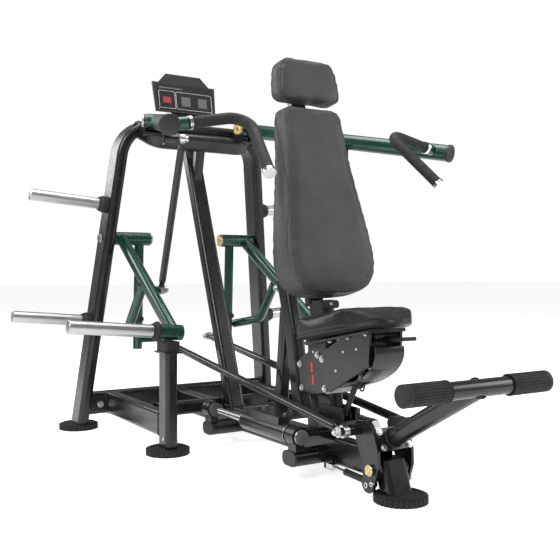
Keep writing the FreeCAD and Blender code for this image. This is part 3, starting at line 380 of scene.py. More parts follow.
def nut_stack(name, start, axis, radius, body, finish="zinc"):
    """Washer, lock nut and the end of the thread."""
    z = Vector(axis).normalized()
    start = Vector(start)
    washer = 0.0022
    disc(name + "_washer", start, z, radius * 1.45, washer, finish, body)
    profile = [(radius * 0.93, 0), (radius, 0.001), (radius, radius * 0.85), (radius * 0.9, radius)]
    nut = lathe_mesh(name, start + z * washer, z, profile, sides=6)
    place(name, nut, finish, body, smooth=False)
    lock, thread = start + z * (washer + radius), start + z * (washer + radius * 1.28)
    disc(name + "_lock", lock, z, radius * 0.72, radius * 0.28, finish, body)
    disc(name + "_thread", thread, z, radius * 0.48, radius * 0.3, finish, body)


def cap_screw(name, start, axis, radius, height, body, finish="zinc"):
    """Round socket-head screw; the floor of its hexagon recess is a dark-painted hexagon, painted shade in the
    socket.
    """
    z = Vector(axis).normalized()
    annulus(name, start, z, radius * 0.5, radius, height, finish, body, 28)
    # painted shade: the hexagon at the bottom of the socket takes a dark paint to stand for the shade in the
    # recess
    profile = [(radius * 0.52, 0), (radius * 0.52, height * 0.45)]
    painted_shade_recess = lathe_mesh(name + "_recess", start, z, profile, sides=6)
    place(name + "_recess", painted_shade_recess, "housing_paint", body, smooth=False)


def tube_along(name, points, radius, finish, body, closed=False, ripple=0.0, pitch=0.004, around=10):
    """Round bead that follows a polyline; ripple makes it scalloped like a weld."""
    points = [Vector(p) for p in points]
    count = len(points)
    verts, faces = [], []
    travelled = 0.0
    side = None
    for i, p in enumerate(points):
        before = points[(i - 1) % count] if (closed or i > 0) else p
        after = points[(i + 1) % count] if (closed or i < count - 1) else p
        run = (after - before).normalized()
        if side is None:
            side = basis(run)[0]
        side = (side - run * side.dot(run)).normalized()
        other = run.cross(side)
        if i > 0:
            travelled += (p - points[i - 1]).length
        swell = radius * (1 + ripple * math.cos(2 * math.pi * travelled / pitch))
        for k in range(around):
            turn = 2 * math.pi * k / around
            verts.append(p + (side * math.cos(turn) + other * math.sin(turn)) * swell)
    last = count if closed else count - 1
    for i in range(last):
        j = (i + 1) % count
        for k in range(around):
            m = (k + 1) % around
            faces.append((i * around + k, i * around + m, j * around + m, j * around + k))
    if not closed:
        faces.append(tuple(range(around)))
        faces.append(tuple(reversed(range((count - 1) * around, count * around))))
    mesh = bpy.data.meshes.new(name)
    mesh.from_pydata(verts, [], faces)
    mesh.update()
    return place(name, mesh, finish, body)


def resample(points, step, closed=False):
    points = [Vector(p) for p in points]
    if closed:
        points.append(points[0].copy())
    lengths = [0.0]
    for a, b in zip(points, points[1:]):
        lengths.append(lengths[-1] + (b - a).length)
    total = lengths[-1]
    count = max(3, int(round(total / step)))
    out, k = [], 0
    for i in range(count if closed else count + 1):
        goal = total * i / count
        while k < len(lengths) - 2 and lengths[k + 1] < goal:
            k += 1
        span = lengths[k + 1] - lengths[k]
        t = (goal - lengths[k]) / span if span > 1e-9 else 0
        out.append(points[k].lerp(points[k + 1], t))
    return out


def rounded_loop(centre, across, up, width, depth, radius, per_corner=6):
    """Closed rounded-rectangle loop of points; width along across, depth along up."""
    centre, across, up = Vector(centre), Vector(across).normalized(), Vector(up).normalized()
    points = []
    for i, (sx, sy) in enumerate(((1, 1), (-1, 1), (-1, -1), (1, -1))):
        for k in range(per_corner + 1):
            turn = math.pi / 2 * (i + k / per_corner)
            x = sx * (width / 2 - radius) + radius * math.cos(turn)
            y = sy * (depth / 2 - radius) + radius * math.sin(turn)
            points.append(centre + across * x + up * y)
    return points


def weld(name, loop, body, radius=0.0028):
    """Scalloped bead along a closed loop."""
    tube_along(name, resample(loop, 0.0011, True), radius, "frame_paint", body, True, 0.16, 0.0055, 8)


def box_weld(name, centre, across, up, size, radius, body):
    """Weld bead round the end of a rounded tube; size is its width and depth."""
    weld(name, rounded_loop(centre, across, up, *size, radius), body)


def slab(name, centre, across, up, width, depth, thick, radius, finish, body):
    """Thin rounded plate whose back face lies on centre; it stands out along across x up."""
    a, u = Vector(across).normalized(), Vector(up).normalized()
    out = a.cross(u)
    edge = min(thick * 0.3, 0.0006)
    centre = Vector(centre)
    narrow, shallow = width - 2 * edge, depth - 2 * edge
    loops = [rounded_loop(centre, a, u, width, depth, radius),
             rounded_loop(centre + out * (thick - edge), a, u, width, depth, radius),
             rounded_loop(centre + out * thick, a, u, narrow, shallow, radius - edge)]
    count = len(loops[0])
    verts = [p for loop in loops for p in loop]
    faces = []
    for row in (0, 1):
        for i in range(count):
            j = (i + 1) % count
            faces.append((row * count + i, row * count + j, (row + 1) * count + j, (row + 1) * count + i))
    faces.append(tuple(reversed(range(count))))
    faces.append(tuple(range(2 * count, 3 * count)))
    mesh = bpy.data.meshes.new(name)
    mesh.from_pydata(verts, [], faces)
    mesh.update()
    piece = place(name, mesh, finish, body)
    mark_sharp(piece)
    return piece


# ---- upholstery ----------------------------------------------------------------------------
def remeshed_copy(node_name, voxel, shrink):
    """Copy of a CAD cushion with an even skin, pulled in a little so that it can swell."""
    source = nodes[node_name]
    mesh = source.data.copy()
    mesh.materials.clear()
    piece = bpy.data.objects.new(node_name + "_cushion", mesh)
    bpy.context.scene.collection.objects.link(piece)
    remesh = piece.modifiers.new("skin", "REMESH")
    remesh.mode = "VOXEL"
    remesh.voxel_size = voxel
    replace_mesh(piece)
    normals = [v.normal.copy() for v in piece.data.vertices]
    for vertex, normal in zip(piece.data.vertices, normals):
        vertex.co = vertex.co - normal * shrink
    piece.data.update()
    return piece


def replace_mesh(piece):
    """Apply every modifier of the piece."""
    graph = bpy.context.evaluated_depsgraph_get()
    graph.update()
    mesh = bpy.data.meshes.new_from_object(piece.evaluated_get(graph))
    piece.modifiers.clear()
    old = piece.data
    piece.data = mesh
    bpy.data.meshes.remove(old)


def relax(piece, rounds, factor=0.5):
    smooth = piece.modifiers.new("relax", "SMOOTH")
    smooth.factor = factor
    smooth.iterations = rounds
    replace_mesh(piece)


def inflate(piece, held, pressure, cap):
    """Swell the cover with a cloth simulation; held says which points are stapled to the board."""
    start = [v.co.copy() for v in piece.data.vertices]
    group = piece.vertex_groups.new(name="stapled")
    for index, point in enumerate(start):
        if held(point):
            group.add([index], 1.0, "REPLACE")
    cloth = piece.modifiers.new("swell", "CLOTH")
    cloth.settings.quality = 5
    cloth.settings.mass = 0.4
    cloth.settings.tension_stiffness = 22
    cloth.settings.compression_stiffness = 22
    cloth.settings.shear_stiffness = 9
    cloth.settings.bending_stiffness = 1.2
    cloth.settings.use_pressure = True
    cloth.settings.uniform_pressure_force = pressure
    cloth.settings.vertex_group_mass = "stapled"
    cloth.settings.effector_weights.gravity = 0
    cloth.point_cache.frame_start = 1
    cloth.point_cache.frame_end = 20
    for number in range(1, 21):
        bpy.context.scene.frame_set(number)
    replace_mesh(piece)
    bpy.context.scene.frame_set(1)
    piece.vertex_groups.clear()
    for vertex, origin in zip(piece.data.vertices, start):
        move = vertex.co - origin
        if move.length > 1e-6:
            vertex.co = origin + move * (cap * math.tanh(move.length / cap) / move.length)
    piece.data.update()


def subdivide(piece):
    fine = piece.modifiers.new("fine", "SUBSURF")
    fine.levels = 1
    fine.render_levels = 1
    replace_mesh(piece)


def surface_tree(piece):
    verts = [v.co.copy() for v in piece.data.vertices]
    return BVHTree.FromPolygons(verts, [tuple(f.vertices) for f in piece.data.polygons])


def sew(piece, loop, depth, width):
    """Press a seam channel into the cover along a closed loop and return the loop on the surface."""
    tree = surface_tree(piece)
    seam = []
    for point in resample(loop, 0.004, True):
        spot, normal, _, _ = tree.find_nearest(point)
        seam.append(spot)
    grid = {}
    cell = width * 3
    for point in seam:
        key = tuple(int(math.floor(c / cell)) for c in point)
        grid.setdefault(key, []).append(point)
    normals = [v.normal.copy() for v in piece.data.vertices]
    for vertex, normal in zip(piece.data.vertices, normals):
        base = tuple(int(math.floor(c / cell)) for c in vertex.co)
        near = None
        for dx in (-1, 0, 1):
            for dy in (-1, 0, 1):
                for dz in (-1, 0, 1):
                    for point in grid.get((base[0] + dx, base[1] + dy, base[2] + dz), ()):
                        gap = (point - vertex.co).length
                        if near is None or gap < near:
                            near = gap
        if near is not None and near < cell:
            vertex.co = vertex.co - normal * (depth * math.exp(-(near / width) ** 2))
    piece.data.update()
    tree = surface_tree(piece)
    return [tree.find_nearest(point)[0] for point in seam]


def outline_of(node_name, plane_point, plane_normal, tolerance=0.0015):
    """Ordered closed outline of a CAD cushion's flat face."""
    n = Vector(plane_normal).normalized()
    spots = [v.co.copy() for v in nodes[node_name].data.vertices]
    found = [p for p in spots if abs((p - Vector(plane_point)).dot(n)) < tolerance]
    middle = sum(found, Vector()) / len(found)
    x, y, _ = basis(n)
    found.sort(key=lambda p: math.atan2((p - middle).dot(y), (p - middle).dot(x)))
    loop = [found[0]]
    for point in found[1:]:
        if (point - loop[-1]).length > 0.002:
            loop.append(point)
    return loop, middle


def inset(loop, middle, amount):
    out = []
    for point in loop:
        to_middle = middle - point
        out.append(point + to_middle.normalized() * min(amount, to_middle.length * 0.5))
    return out


def front_loop_of(piece, loop, middle, amount):
    """The rear outline, drawn in and carried onto the cushion's front."""
    tree = surface_tree(piece)
    found = []
    for point in resample(inset(loop, middle, amount), 0.004, True):
        hit = tree.ray_cast(point - PAD_BACK * 0.4, PAD_BACK)[0]
        if hit:
            found.append(hit)
    return found


def flat_cushion(node_name, slot_name, voxel, cap, pressure):
    """Back or head cushion: crowned front, seams round the front and rear edges, stapled to its board."""
    points = [v.co for v in nodes[node_name].data.vertices]
    rear_at = max(p.dot(PAD_BACK) for p in points)
    rear_point = next(p.copy() for p in points if abs(p.dot(PAD_BACK) - rear_at) < 0.001)
    piece = remeshed_copy(node_name, voxel, 0.0045)
    relax(piece, 3)
    inflate(piece, lambda p: p.dot(PAD_BACK) > rear_at - 0.012, pressure, cap)
    relax(piece, 5)
    subdivide(piece)
    rear_loop, rear_middle = outline_of(node_name, rear_point, PAD_BACK)
    front_seam = sew(piece, front_loop_of(piece, rear_loop, rear_middle, 0.012), 0.0020, 0.004)
    rear_seam = sew(piece, [p - PAD_BACK * 0.013 for p in rear_loop], 0.0016, 0.004)
    finish_cushion(piece, node_name, slot_name, "carriage")
    stitch_line(node_name + "_front_seam", front_seam, "carriage")
    stitch_line(node_name + "_rear_seam", rear_seam, "carriage")


def finish_cushion(piece, node_name, slot_name, body):
    piece.data.materials.clear()
    piece.data.materials.append(M[slot_name])
    for face in piece.data.polygons:
        face.use_smooth = True
    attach(piece, body)
    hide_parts(node_name)


def stitch_line(name, loop, body):
    """Sewn thread lying in the seam channel."""
    tube_along(name, resample(loop, 0.0015, True), 0.0009, "seam_thread", body, True, 0.35, 0.0045, 6)


def seat_cushion():
    """Seat cushion: rounded top edge, seam low on the flank, narrow front nose."""
    piece = remeshed_copy("seat_pad", 0.005, 0.004)
    relax(piece, 30)

    def held(p):
        return p.z < seat_under(p.y) + 0.009 or (abs(p.x) < 0.04 and p.y > -0.34)

    inflate(piece, held, 4.0, 0.009)
    relax(piece, 22)
    subdivide(piece)
    middle = Vector((0, -0.46, 0))
    outline = {}
    for vertex in nodes["seat_pad"].data.vertices:
        p = vertex.co
        if abs(p.x) < 0.034 and p.y > -0.34:
            continue
        turn = math.atan2(p.y - middle.y, p.x)
        key = int(turn / (math.pi / 60))
        reach = math.hypot(p.x, p.y - middle.y)
        if key not in outline or reach > outline[key][0]:
            outline[key] = (reach, Vector((p.x, p.y, 0)))
    loop = [outline[k][1] for k in sorted(outline)]
    flank = [Vector((point.x, point.y, seat_under(point.y) + 0.018)) for point in loop]
    seam = sew(piece, flank, 0.0018, 0.004)
    finish_cushion(piece, "seat_pad", "seat_leather", "seat")
    stitch_line("seat_flank_seam", seam, "seat")


# ---- small fittings ------------------------------------------------------------------------
def pivot_of(name):
    joint = next(j for j in frame["joints"] if j["name"] == name)
    return Vector(joint["pos_m"]), Vector(joint["axis"]).normalized()


def bearing_face(name, start, axis, body, outer, seal, core):
    """End of a pivot: steel cup, yellow seal ring and dark bolt head."""
    z = Vector(axis).normalized()
    annulus(name + "_cup", start, z, seal, outer, 0.0025, "zinc", body)
    annulus(name + "_seal", start, z, core, seal - 0.0002, 0.0018, "yellow_seal", body)
    profile = [(core, 0), (core, 0.0016), (core * 0.85, 0.0022)]
    place(name + "_core", lathe_mesh(name + "_core", start, z, profile, sides=6), "steel", body, smooth=False)


def press_pivot_faces():
    """Bearings at both ends of each press arm's pin."""
    pin_end = 0.0631
    for name, side in SIDES:
        pivot, axis = pivot_of("press_arm_pivot_" + name)
        outward = axis if axis.x * side > 0 else -axis
        for end, sign in (("outer", 1), ("inner", -1)):
            way = outward * sign
            label = "press_bearing_%s_%s" % (name, end)
            bearing_face(label, pivot + way * pin_end, way, "frame", 0.0268, 0.0215, 0.010)


def weight_pivot_faces():
    """Inner shaft ends, the thin gaps between the hubs and the bolts through the legs."""
    y, z = WEIGHT_PIVOT
    for name, side in SIDES:
        inward = (-side, 0, 0)
        shaft_end = mirrored(side, (0.1779, y, z))
        bearing_face("weight_bearing_" + name, shaft_end, inward, "frame", 0.027, 0.021, 0.0125)
        for label, x in (("assist_", 0.2697), ("weight_", 0.272)):
            annulus("hub_joint_" + label + name, mirrored(side, (x, y, z)), inward,
                    0.0215, 0.0298, 0.0006, "steel", label + name)
        hex_bolt("leg_bolt_" + name, mirrored(side, (0.4098, 0.8538, z)), (side, 0, 0), 0.013, 0.0085, "frame")


def rocker_fittings():
    y, z = ROCKER_PIVOT
    for name, side in SIDES:
        out = (side, 0, 0)
        shaft_end = mirrored(side, (0.0801, y, z))
        bearing_face("rocker_bearing_" + name, shaft_end, out, "frame", 0.0175, 0.0152, 0.007)
        lobe_pin = mirrored(side, (ROCKER_FACE, *LOBE))
        cap_screw("lobe_screw_" + name, lobe_pin, out, 0.0085, 0.006, "rocker")
        plate_screw = mirrored(side, (ROCKER_FACE, -0.632, 0.052))
        cap_screw("plate_screw_" + name, plate_screw, out, 0.0075, 0.009, "rocker")
        nut_stack("tie_nut_" + name, mirrored(side, (0.1521, *TIE_FRONT[1:])), out, 0.0115, "rocker")


def ball_joint(name, centre, axis, along, body, radius, half):
    """Rod end: bright faces of the eye and the dark lock nut against the tapered end of the rod."""
    axis = Vector(axis).normalized()
    along = Vector(along).normalized()
    for label, sign in (("_face_b", -1), ("_face_a", 1)):
        annulus(name + label, centre + axis * half * sign, axis * sign,
                radius * 0.72, radius * 0.97, 0.0008, "steel", body)
    profile = [(0.0112, 0), (0.0122, 0.001), (0.0122, 0.0062), (0.0112, 0.0072)]
    nut = lathe_mesh(name + "_nut", centre + along * (radius + 0.0008), along, profile, sides=6)
    place(name + "_nut", nut, "housing_paint", body, smooth=False)


def rod_end_fittings():
    """Rod ends of the link and tie rods, with the bolt heads on their pins."""
    for name, side in SIDES:
        top, low = mirrored(side, LINK_TOP), mirrored(side, LINK_LOW)
        along = (low - top).normalized()
        press_axis = pivot_of("press_arm_pivot_" + name)[1]
        ball_joint("link_low_" + name, low, ACROSS, -along, "link_" + name, 0.019, 0.0071)
        ball_joint("link_top_" + name, top, press_axis, along, "link_" + name, 0.017, 0.0081)
        front, rear = mirrored(side, TIE_FRONT), mirrored(side, TIE_REAR)
        run = (rear - front).normalized()
        ball_joint("tie_front_" + name, front, ACROSS, run, "tie_" + name, 0.020, 0.0091)
        ball_joint("tie_rear_" + name, rear, ACROSS, -run, "tie_" + name, 0.019, 0.0071)
        inward = (-side, 0, 0)
        link_head = mirrored(side, (0.2639, *LINK_LOW[1:]))
        hex_bolt("link_pin_head_" + name, link_head, inward, 0.0095, 0.007, "weight_" + name)
        tie_head = mirrored(side, (0.1059, *TIE_REAR[1:]))
        hex_bolt("tie_pin_head_" + name, tie_head, inward, 0.0085, 0.006, "assist_" + name)


def foot_bar_fittings():
    """Welds of the stem and the moulded ends of the rubber sleeves."""
    run = (STEM_END - STEM_LOW).normalized()
    up = Vector(ACROSS).cross(run)
    base = STEM_LOW + run * 0.0092
    ring = [base + (Vector(ACROSS) * math.cos(t) + up * math.sin(t)) * STEM_R
            for t in (2 * math.pi * k / 48 for k in range(48))]
    weld("stem_weld", ring, "rocker", 0.003)
    sleeve_end = [(0.0302, -0.0006), (0.0298, 0.0008), (0.0255, 0.0016), (0.0, 0.0018)]
    for name, side in SIDES:
        cap = mirrored(side, (0.2691, STEM_END.y, STEM_END.z))
        lathe("sleeve_end_" + name, cap, (side, 0, 0), sleeve_end, "black_rubber", "rocker", 48)
        root = mirrored(side, (0.1199, STEM_END.y, STEM_END.z))
        annulus("sleeve_lip_" + name, root, (-side, 0, 0), PUSH_BAR_R, 0.0314, 0.003,
                "black_rubber", "rocker", 48)
    saddle = []
    for k in range(64):
        t = 2 * math.pi * k / 64
        lift = 0.0296 * math.sin(t)
        depth = math.sqrt(max(0.0, PUSH_BAR_R ** 2 - lift * lift))
        saddle.append(STEM_END - run * depth + Vector((STEM_R * math.cos(t), 0, 0)) + up * lift)
    weld("cross_weld", saddle, "rocker", 0.0026)


def grip_fittings():
    """Moulded flanges of each rubber hand grip and the domed face of the arm's cap."""
    dome = [(0.034, 0), (0.0332, 0.0012), (0.031, 0.0022), (0.012, 0.003), (0.0, 0.0031)]
    for name, side in SIDES:
        ring, apex, end = (mirrored(side, point) for point in (GRIP_RING, GRIP_APEX, GRIP_END))
        down = (end - apex).normalized()
        along = (apex - ring).normalized()
        body = "press_" + name
        annulus("grip_lip_" + name, ring + along * 0.0115, along, 0.0188, 0.0222, 0.004, "black_rubber", body)
        annulus("grip_foot_" + name, end - down * 0.005, down, 0.0188, 0.0206, 0.0048, "black_rubber", body)
        arm, pivot = mirrored(side, ARM_END), mirrored(side, HEAD_PIVOT)
        out = (arm - pivot).normalized()
        lathe("arm_cap_" + name, arm + out * 0.0099, out, dome, "black_plastic", body, 56)


def horn_fittings():
    """Domed plug in the free end of every plate horn, and the ring where the sleeve meets its collar."""
    spots = []
    for name, side in SIDES:
        axis = Vector((side * math.cos(HORN_TILT), 0, math.sin(HORN_TILT)))
        for index, z in enumerate((0.478, 0.990)):
            root = mirrored(side, (LEG_FOOT[0] - LEG_IN * z + 0.025, LEG_FOOT[1] - LEG_LEAN * z, z))
            spots.append(("storage_%s_%d" % (name, index), root, axis, 0.034, 0.330, "frame"))
        spots.append(("loading_" + name, mirrored(side, HORN_AT), axis, 0.074, 0.398, "weight_" + name))
    dome = [(0.0244, 0), (0.0244, 0.0012), (0.0232, 0.0026), (0.014, 0.0038), (0.0, 0.0041)]
    for name, root, axis, low, high, body in spots:
        lathe(name + "_plug", root + axis * (high - 0.0005), axis, dome, "zinc", body, 48)
        collar = root + axis * (low + 0.0002)
        annulus(name + "_ring", collar, axis, 0.0249, 0.0292, 0.004, "black_rubber", body, 48)


def seat_fittings():
    """Small screws of the seat plates, bolts under the pan and the wire hook."""
    screws = ((-0.300, 0.425), (-0.345, 0.400), (-0.470, 0.440), (-0.540, 0.455), (-0.430, 0.375))
    for name, side in SIDES:
        for index, (y, z) in enumerate(screws):
            spot = mirrored(side, (0.0659, y, z))
            disc("plate_dot_%s_%d" % (name, index), spot, (side, 0, 0), 0.0045, 0.0012, "zinc", "seat")
    for name, side in SIDES:
        for y in (-0.40, -0.50, -0.59):
            spot = mirrored(side, (0.0685, y, seat_under(y) - 0.0128))
            hex_bolt("pan_bolt_%s_%d" % (name, round(-y * 100)), spot, (0, 0, -1), 0.006, 0.005, "seat")
    hook = []
    for k in range(25):
        turn = math.radians(-110 + 220 * k / 24)
        hook.append(Vector((-0.030, -0.522 + 0.013 * math.sin(turn), 0.334 - 0.016 * math.cos(turn))))
    tube_along("seat_hook", hook, 0.003, "housing_paint", "seat")


def spring_fittings():
    """Seal collars at the mouths of the two gas spring tubes."""
    low, high = Vector((0, -0.392, 0.222)), Vector((0, -0.488, 0.385))
    lobe, anchor = Vector((DAMPER_X, *LOBE)), Vector((DAMPER_X, *DAMPER_ANCHOR))
    springs = (("spring_collar", low, high, 0.1165, 0.0098, "seat_spring_tube"),
               ("damper_collar", lobe, anchor, 0.1385, 0.0108, "damper_tube"))
    for name, start, end, mouth, radius, body in springs:
        run = (end - start).normalized()
        profile = [(radius, 0), (radius + 0.0008, 0.001), (radius + 0.0008, 0.005), (0.0075, 0.0075)]
        lathe(name, start + run * mouth, run, profile, "black_plastic", body, 28)


def carriage_fittings():
    """Bearing end rings of the housings, bolts on the deck and the post bracket."""
    for name, side in SIDES:
        for end, y, way in (("front", -0.2901, -1), ("rear", 0.0021, 1)):
            start, axis = mirrored(side, (0.153, y, 0.154)), (0, way, 0)
            label = "%s_%s" % (name, end)
            annulus("housing_ring_" + label, start, axis, 0.0285, 0.0325, 0.002, "zinc", "carriage", 48)
            annulus("housing_wiper_" + label, start, axis, 0.0135, 0.0283, 0.0026,
                    "black_rubber", "carriage", 48)
        for y in (-0.215, -0.075):
            spot = mirrored(side, (0.125, y, 0.2041))
            cap_screw("deck_screw_%s_%d" % (name, round(-y * 1000)), spot, UP, 0.008, 0.006, "carriage")
        spot = mirrored(side, (0.0251, -0.2846, 0.300))
        hex_bolt("post_bolt_" + name, spot, (side, 0, 0), 0.009, 0.006, "carriage")
    for z in (0.70, 1.18, 1.36, 1.43):
        y = -0.310 + 0.072 * 1.013 + LEAN * (z - 0.614) + 0.031 + 0.0195
        hex_bolt("board_bolt_%d" % round(z * 100), Vector((0, y, z)), (0, 1, -LEAN), 0.008, 0.005, "carriage")
    y = post_line(0.575) - 0.0477
    bracket = (0, y, 0.586)
    slab("post_bracket", bracket, ACROSS, PAD_UP, 0.074, 0.028, 0.005, 0.010, "frame_paint", "carriage")
    cap_screw("post_bracket_screw", Vector((0, y - 0.005, 0.587)), (0, -1, LEAN), 0.006, 0.004, "carriage")
    box_weld("post_weld", (0, post_line(0.204), 0.2045), ACROSS, ALONG, (0.052, 0.104), 0.017, "carriage")


def frame_welds():
    """Weld beads where the tubes of the frame meet."""
    bar_z = 0.110
    reach = LEG_FOOT[0] - LEG_IN * bar_z - 0.0252
    for name, side in SIDES:
        slope = (side * -LEG_IN, 0, 1)
        seams = (("crossbar_weld_", (reach, 0.920, bar_z), ALONG, slope, (0.051, 0.101), 0.018),
                 ("rail_front_weld_", (RAIL_X, 0.3155, bar_z), ACROSS, UP, (0.0505, 0.1005), 0.018),
                 ("rail_rear_weld_", (RAIL_X, 0.8945, bar_z), ACROSS, UP, (0.0505, 0.1005), 0.018),
                 ("cross_weld_", (0.3195, 0.450, 0.138), ALONG, UP, (0.051, 0.055), 0.014),
                 ("beam_cross_weld_", (0.0305, 0.450, 0.138), ALONG, UP, (0.051, 0.055), 0.014),
                 ("post_cap_weld_", (RAIL_X, 0.275, 0.386), ACROSS, ALONG, (0.0505, 0.0805), 0.014))
        for label, centre, across, up, size, radius in seams:
            box_weld(label + name, mirrored(side, centre), across, up, size, radius, "frame")
        spot = mirrored(side, (0.3702, 0.262, 0.060))
        disc("post_spot_" + name, spot, (side, 0, 0), 0.007, 0.002, "zinc", "frame")
    box_weld("beam_rear_weld", (0, 0.8945, 0.097), ACROSS, UP, (0.0605, 0.0905), 0.012, "frame")
    box_weld("spine_weld", (0, 0.3745, 0.1425), ACROSS, ALONG, (0.073, 0.0585), 0.014, "frame")


def placard_face():
    """Blank instruction panel: raised frame lines and neutral blocks, no words or pictures."""
    low, high = Vector((0, 0.842, 1.430)), Vector((0, 0.872, 1.570))
    up = (high - low).normalized()
    out = Vector(ACROSS).cross(up)
    out = out if out.y < 0 else -out
    base = low + out * 0.0002
    middle = base + up * 0.070

    def spot(x, lift, proud):
        return middle + Vector((x, 0, 0)) + up * lift + out * proud

    slab("placard_field", spot(0, 0.004, 0), ACROSS, up, 0.296, 0.128, 0.0008, 0.003, "print_black", "frame")
    panels = ((-0.092, 0.080), (0.045, 0.182))
    for index, (x, width) in enumerate(panels):
        outline = rounded_loop(spot(x, -0.010, 0.0011), ACROSS, up, width, 0.084, 0.006)
        tube_along("placard_line_%d" % index, resample(outline, 0.003, True), 0.0010, "print_white", "frame",
                   closed=True, around=6)
    blocks = ((-0.092, -0.012, 0.040, 0.030, "print_red"), (0.003, -0.012, 0.046, 0.046, "print_grey"),
              (0.088, -0.012, 0.046, 0.046, "print_grey"), (-0.070, 0.048, 0.120, 0.007, "print_grey"))
    for index, (x, lift, width, height, finish) in enumerate(blocks):
        slab("placard_block_%d" % index, spot(x, lift, 0.0009), ACROSS, up, width, height, 0.0006, 0.0025,
             finish, "frame")
    for x in (-0.135, 0.135):
        corner = base + Vector((x, 0, 0)) + up * 0.012
        cap_screw("placard_screw_%d" % round(x * 1000), corner, out, 0.004, 0.003, "frame")


def rubber_feet():
    """Moulded top ring of every floor pad."""
    spots = [(0.0, -0.676)]
    for _, side in SIDES:
        spots.append((side * LEG_FOOT[0], LEG_FOOT[1] + 0.004))
        spots.append((side * RAIL_X, 0.279))
    for index, (x, y) in enumerate(spots):
        top = (x, y, 0.0219)
        annulus("foot_ring_%d" % index, top, UP, 0.066, 0.076, 0.003, "black_rubber", "frame", 64)


def near(*points, reach):
    """Test for faces within reach of any of the points."""
    return lambda p: any((p - point).length < reach for point in points)


def part_finishes():
    """Second finishes on CAD nodes: bare rod eyes, pins, plastic caps and rubber stops."""
    for name, side in SIDES:
        top, low = mirrored(side, LINK_TOP), mirrored(side, LINK_LOW)
        paint_faces("link_rod_" + name, "zinc", near(top, low, reach=0.0195))
        front, rear = mirrored(side, TIE_FRONT), mirrored(side, TIE_REAR)
        paint_faces("tie_rod_" + name, "zinc", near(front, rear, reach=0.0212))
        at_pin = near(low, reach=0.030)
        paint_faces("weight_arm_" + name, "zinc", lambda p, test=at_pin: test(p) and abs(p.x) < 0.2975)
        at_lug = near(top, reach=0.078)
        paint_faces("press_arm_" + name, "frame_paint", lambda p, test=at_lug: test(p) and p.z < 1.216)
        paint_faces("press_arm_" + name, "zinc", near(top, reach=0.024))
        paint_faces("press_grip_" + name, "black_plastic", near(mirrored(side, ARM_END), reach=0.05))
        paint_faces("assist_lever_" + name, "black_rubber", lambda p: 0.466 < p.z < 0.498 and p.y < 0.8425)
        paint_faces("assist_lever_" + name, "zinc", lambda p: abs(p.x) < 0.1461 and p.z < 0.45)
    paint_faces("rod_holders", "steel", lambda p: p.y < -0.3545)
    y, z = LEVER_PIVOT
    paint_faces("seat_pan", "zinc",
                lambda p: p.z < 0.45 or (abs(p.y - y) < 0.0062 and abs(p.z - z) < 0.0065))


paint_nodes()
part_finishes()
flat_cushion("back_pad", "pad_leather", 0.0065, 0.007, 3.5)
flat_cushion("head_pad", "pad_leather", 0.0055, 0.007, 3.5)
seat_cushion()
press_pivot_faces()
weight_pivot_faces()
rocker_fittings()
rod_end_fittings()
foot_bar_fittings()
grip_fittings()
horn_fittings()
seat_fittings()
spring_fittings()
carriage_fittings()
frame_welds()
placard_face()
rubber_feet()


# ---- studio --------------------------------------------------------------------------------
def softbox(name, place_at, aim, size, power):
    light = bpy.data.lights.new(name, "AREA")
    light.shape = "RECTANGLE"
    light.size, light.size_y = size
    light.energy = power
    lamp = bpy.data.objects.new(name, light)
    bpy.context.scene.collection.objects.link(lamp)
    lamp.location = place_at
    lamp.rotation_euler = (Vector(aim) - Vector(place_at)).to_track_quat("-Z", "Y").to_euler()


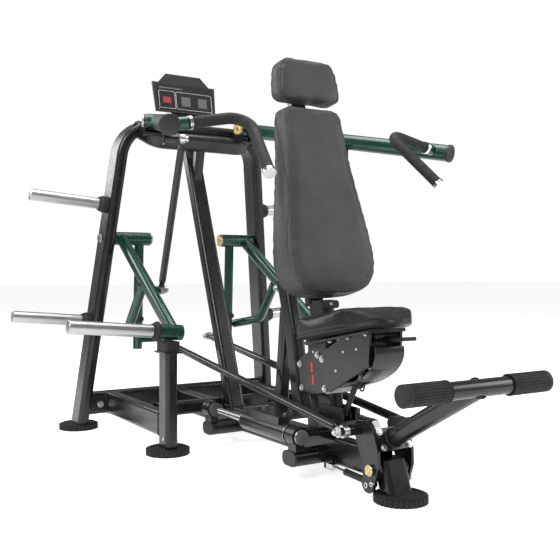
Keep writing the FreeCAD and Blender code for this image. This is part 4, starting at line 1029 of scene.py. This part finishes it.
def studio():
    ground = bpy.data.meshes.new("floor")
    reach = 30.0
    corners = [(x * reach, y * reach, -0.0006) for x, y in ((-1, -1), (1, -1), (1, 1), (-1, 1))]
    ground.from_pydata(corners, [], [(0, 1, 2, 3)])
    floor_finish = Surface("floor_finish")
    floor_finish.colours(floor_finish.noise(1.2, 2.0), (0.90, 0.90, 0.90), (0.93, 0.93, 0.93))
    floor_finish.rough(floor_finish.spread(floor_finish.noise(3.0), 0.75, 0.85))
    floor_finish.put(Emission_Color=(1, 1, 1, 1))
    seen = floor_finish.tree.nodes.new("ShaderNodeLightPath").outputs["Is Camera Ray"]
    glow = floor_finish.spread(seen, 0.30, 0.72, 0.0, 1.0)
    floor_finish.link(glow, floor_finish.bsdf.inputs["Emission Strength"])
    ground.materials.append(floor_finish.mat)
    floor = bpy.data.objects.new("floor", ground)
    bpy.context.scene.collection.objects.link(floor)
    world = bpy.data.worlds.new("studio")
    world.use_nodes = True
    tree = world.node_tree
    backdrop = tree.nodes["Background"]
    backdrop.inputs["Color"].default_value = (1, 1, 1, 1)
    backdrop.inputs["Strength"].default_value = 1.02
    fill = tree.nodes.new("ShaderNodeBackground")
    fill.inputs["Color"].default_value = (1, 1, 1, 1)
    fill.inputs["Strength"].default_value = 0.24
    direct = tree.nodes.new("ShaderNodeLightPath").outputs["Is Camera Ray"]
    mix = tree.nodes.new("ShaderNodeMixShader")
    tree.links.new(direct, mix.inputs["Fac"])
    tree.links.new(fill.outputs["Background"], mix.inputs[1])
    tree.links.new(backdrop.outputs["Background"], mix.inputs[2])
    tree.links.new(mix.outputs["Shader"], tree.nodes["World Output"].inputs["Surface"])
    bpy.context.scene.world = world
    softbox("key", (-3.6, -1.8, 3.4), (0, 0.1, 0.7), (2.4, 2.4), 150)
    softbox("side", (3.8, -2.6, 2.4), (0, -0.1, 0.7), (2.2, 2.6), 90)
    softbox("top", (0.0, 0.2, 4.4), (0, 0.1, 0.6), (3.0, 3.0), 130)
    softbox("rear", (-2.2, 3.8, 2.6), (0, 0.3, 0.8), (2.4, 2.0), 70)
    bpy.context.scene.view_settings.view_transform = "Standard"


def camera():
    data = bpy.data.cameras.new("camera")
    data.lens = 51.3
    data.sensor_width = 36.0
    data.shift_y = -0.0214
    eye = bpy.data.objects.new("camera", data)
    bpy.context.scene.collection.objects.link(eye)
    eye.location = (-1.602, -2.545, 0.711)
    look = Vector((0.5299, 0.8480, 0.0))
    eye.rotation_euler = look.to_track_quat("-Z", "Y").to_euler()
    bpy.context.scene.camera = eye


studio()
camera()
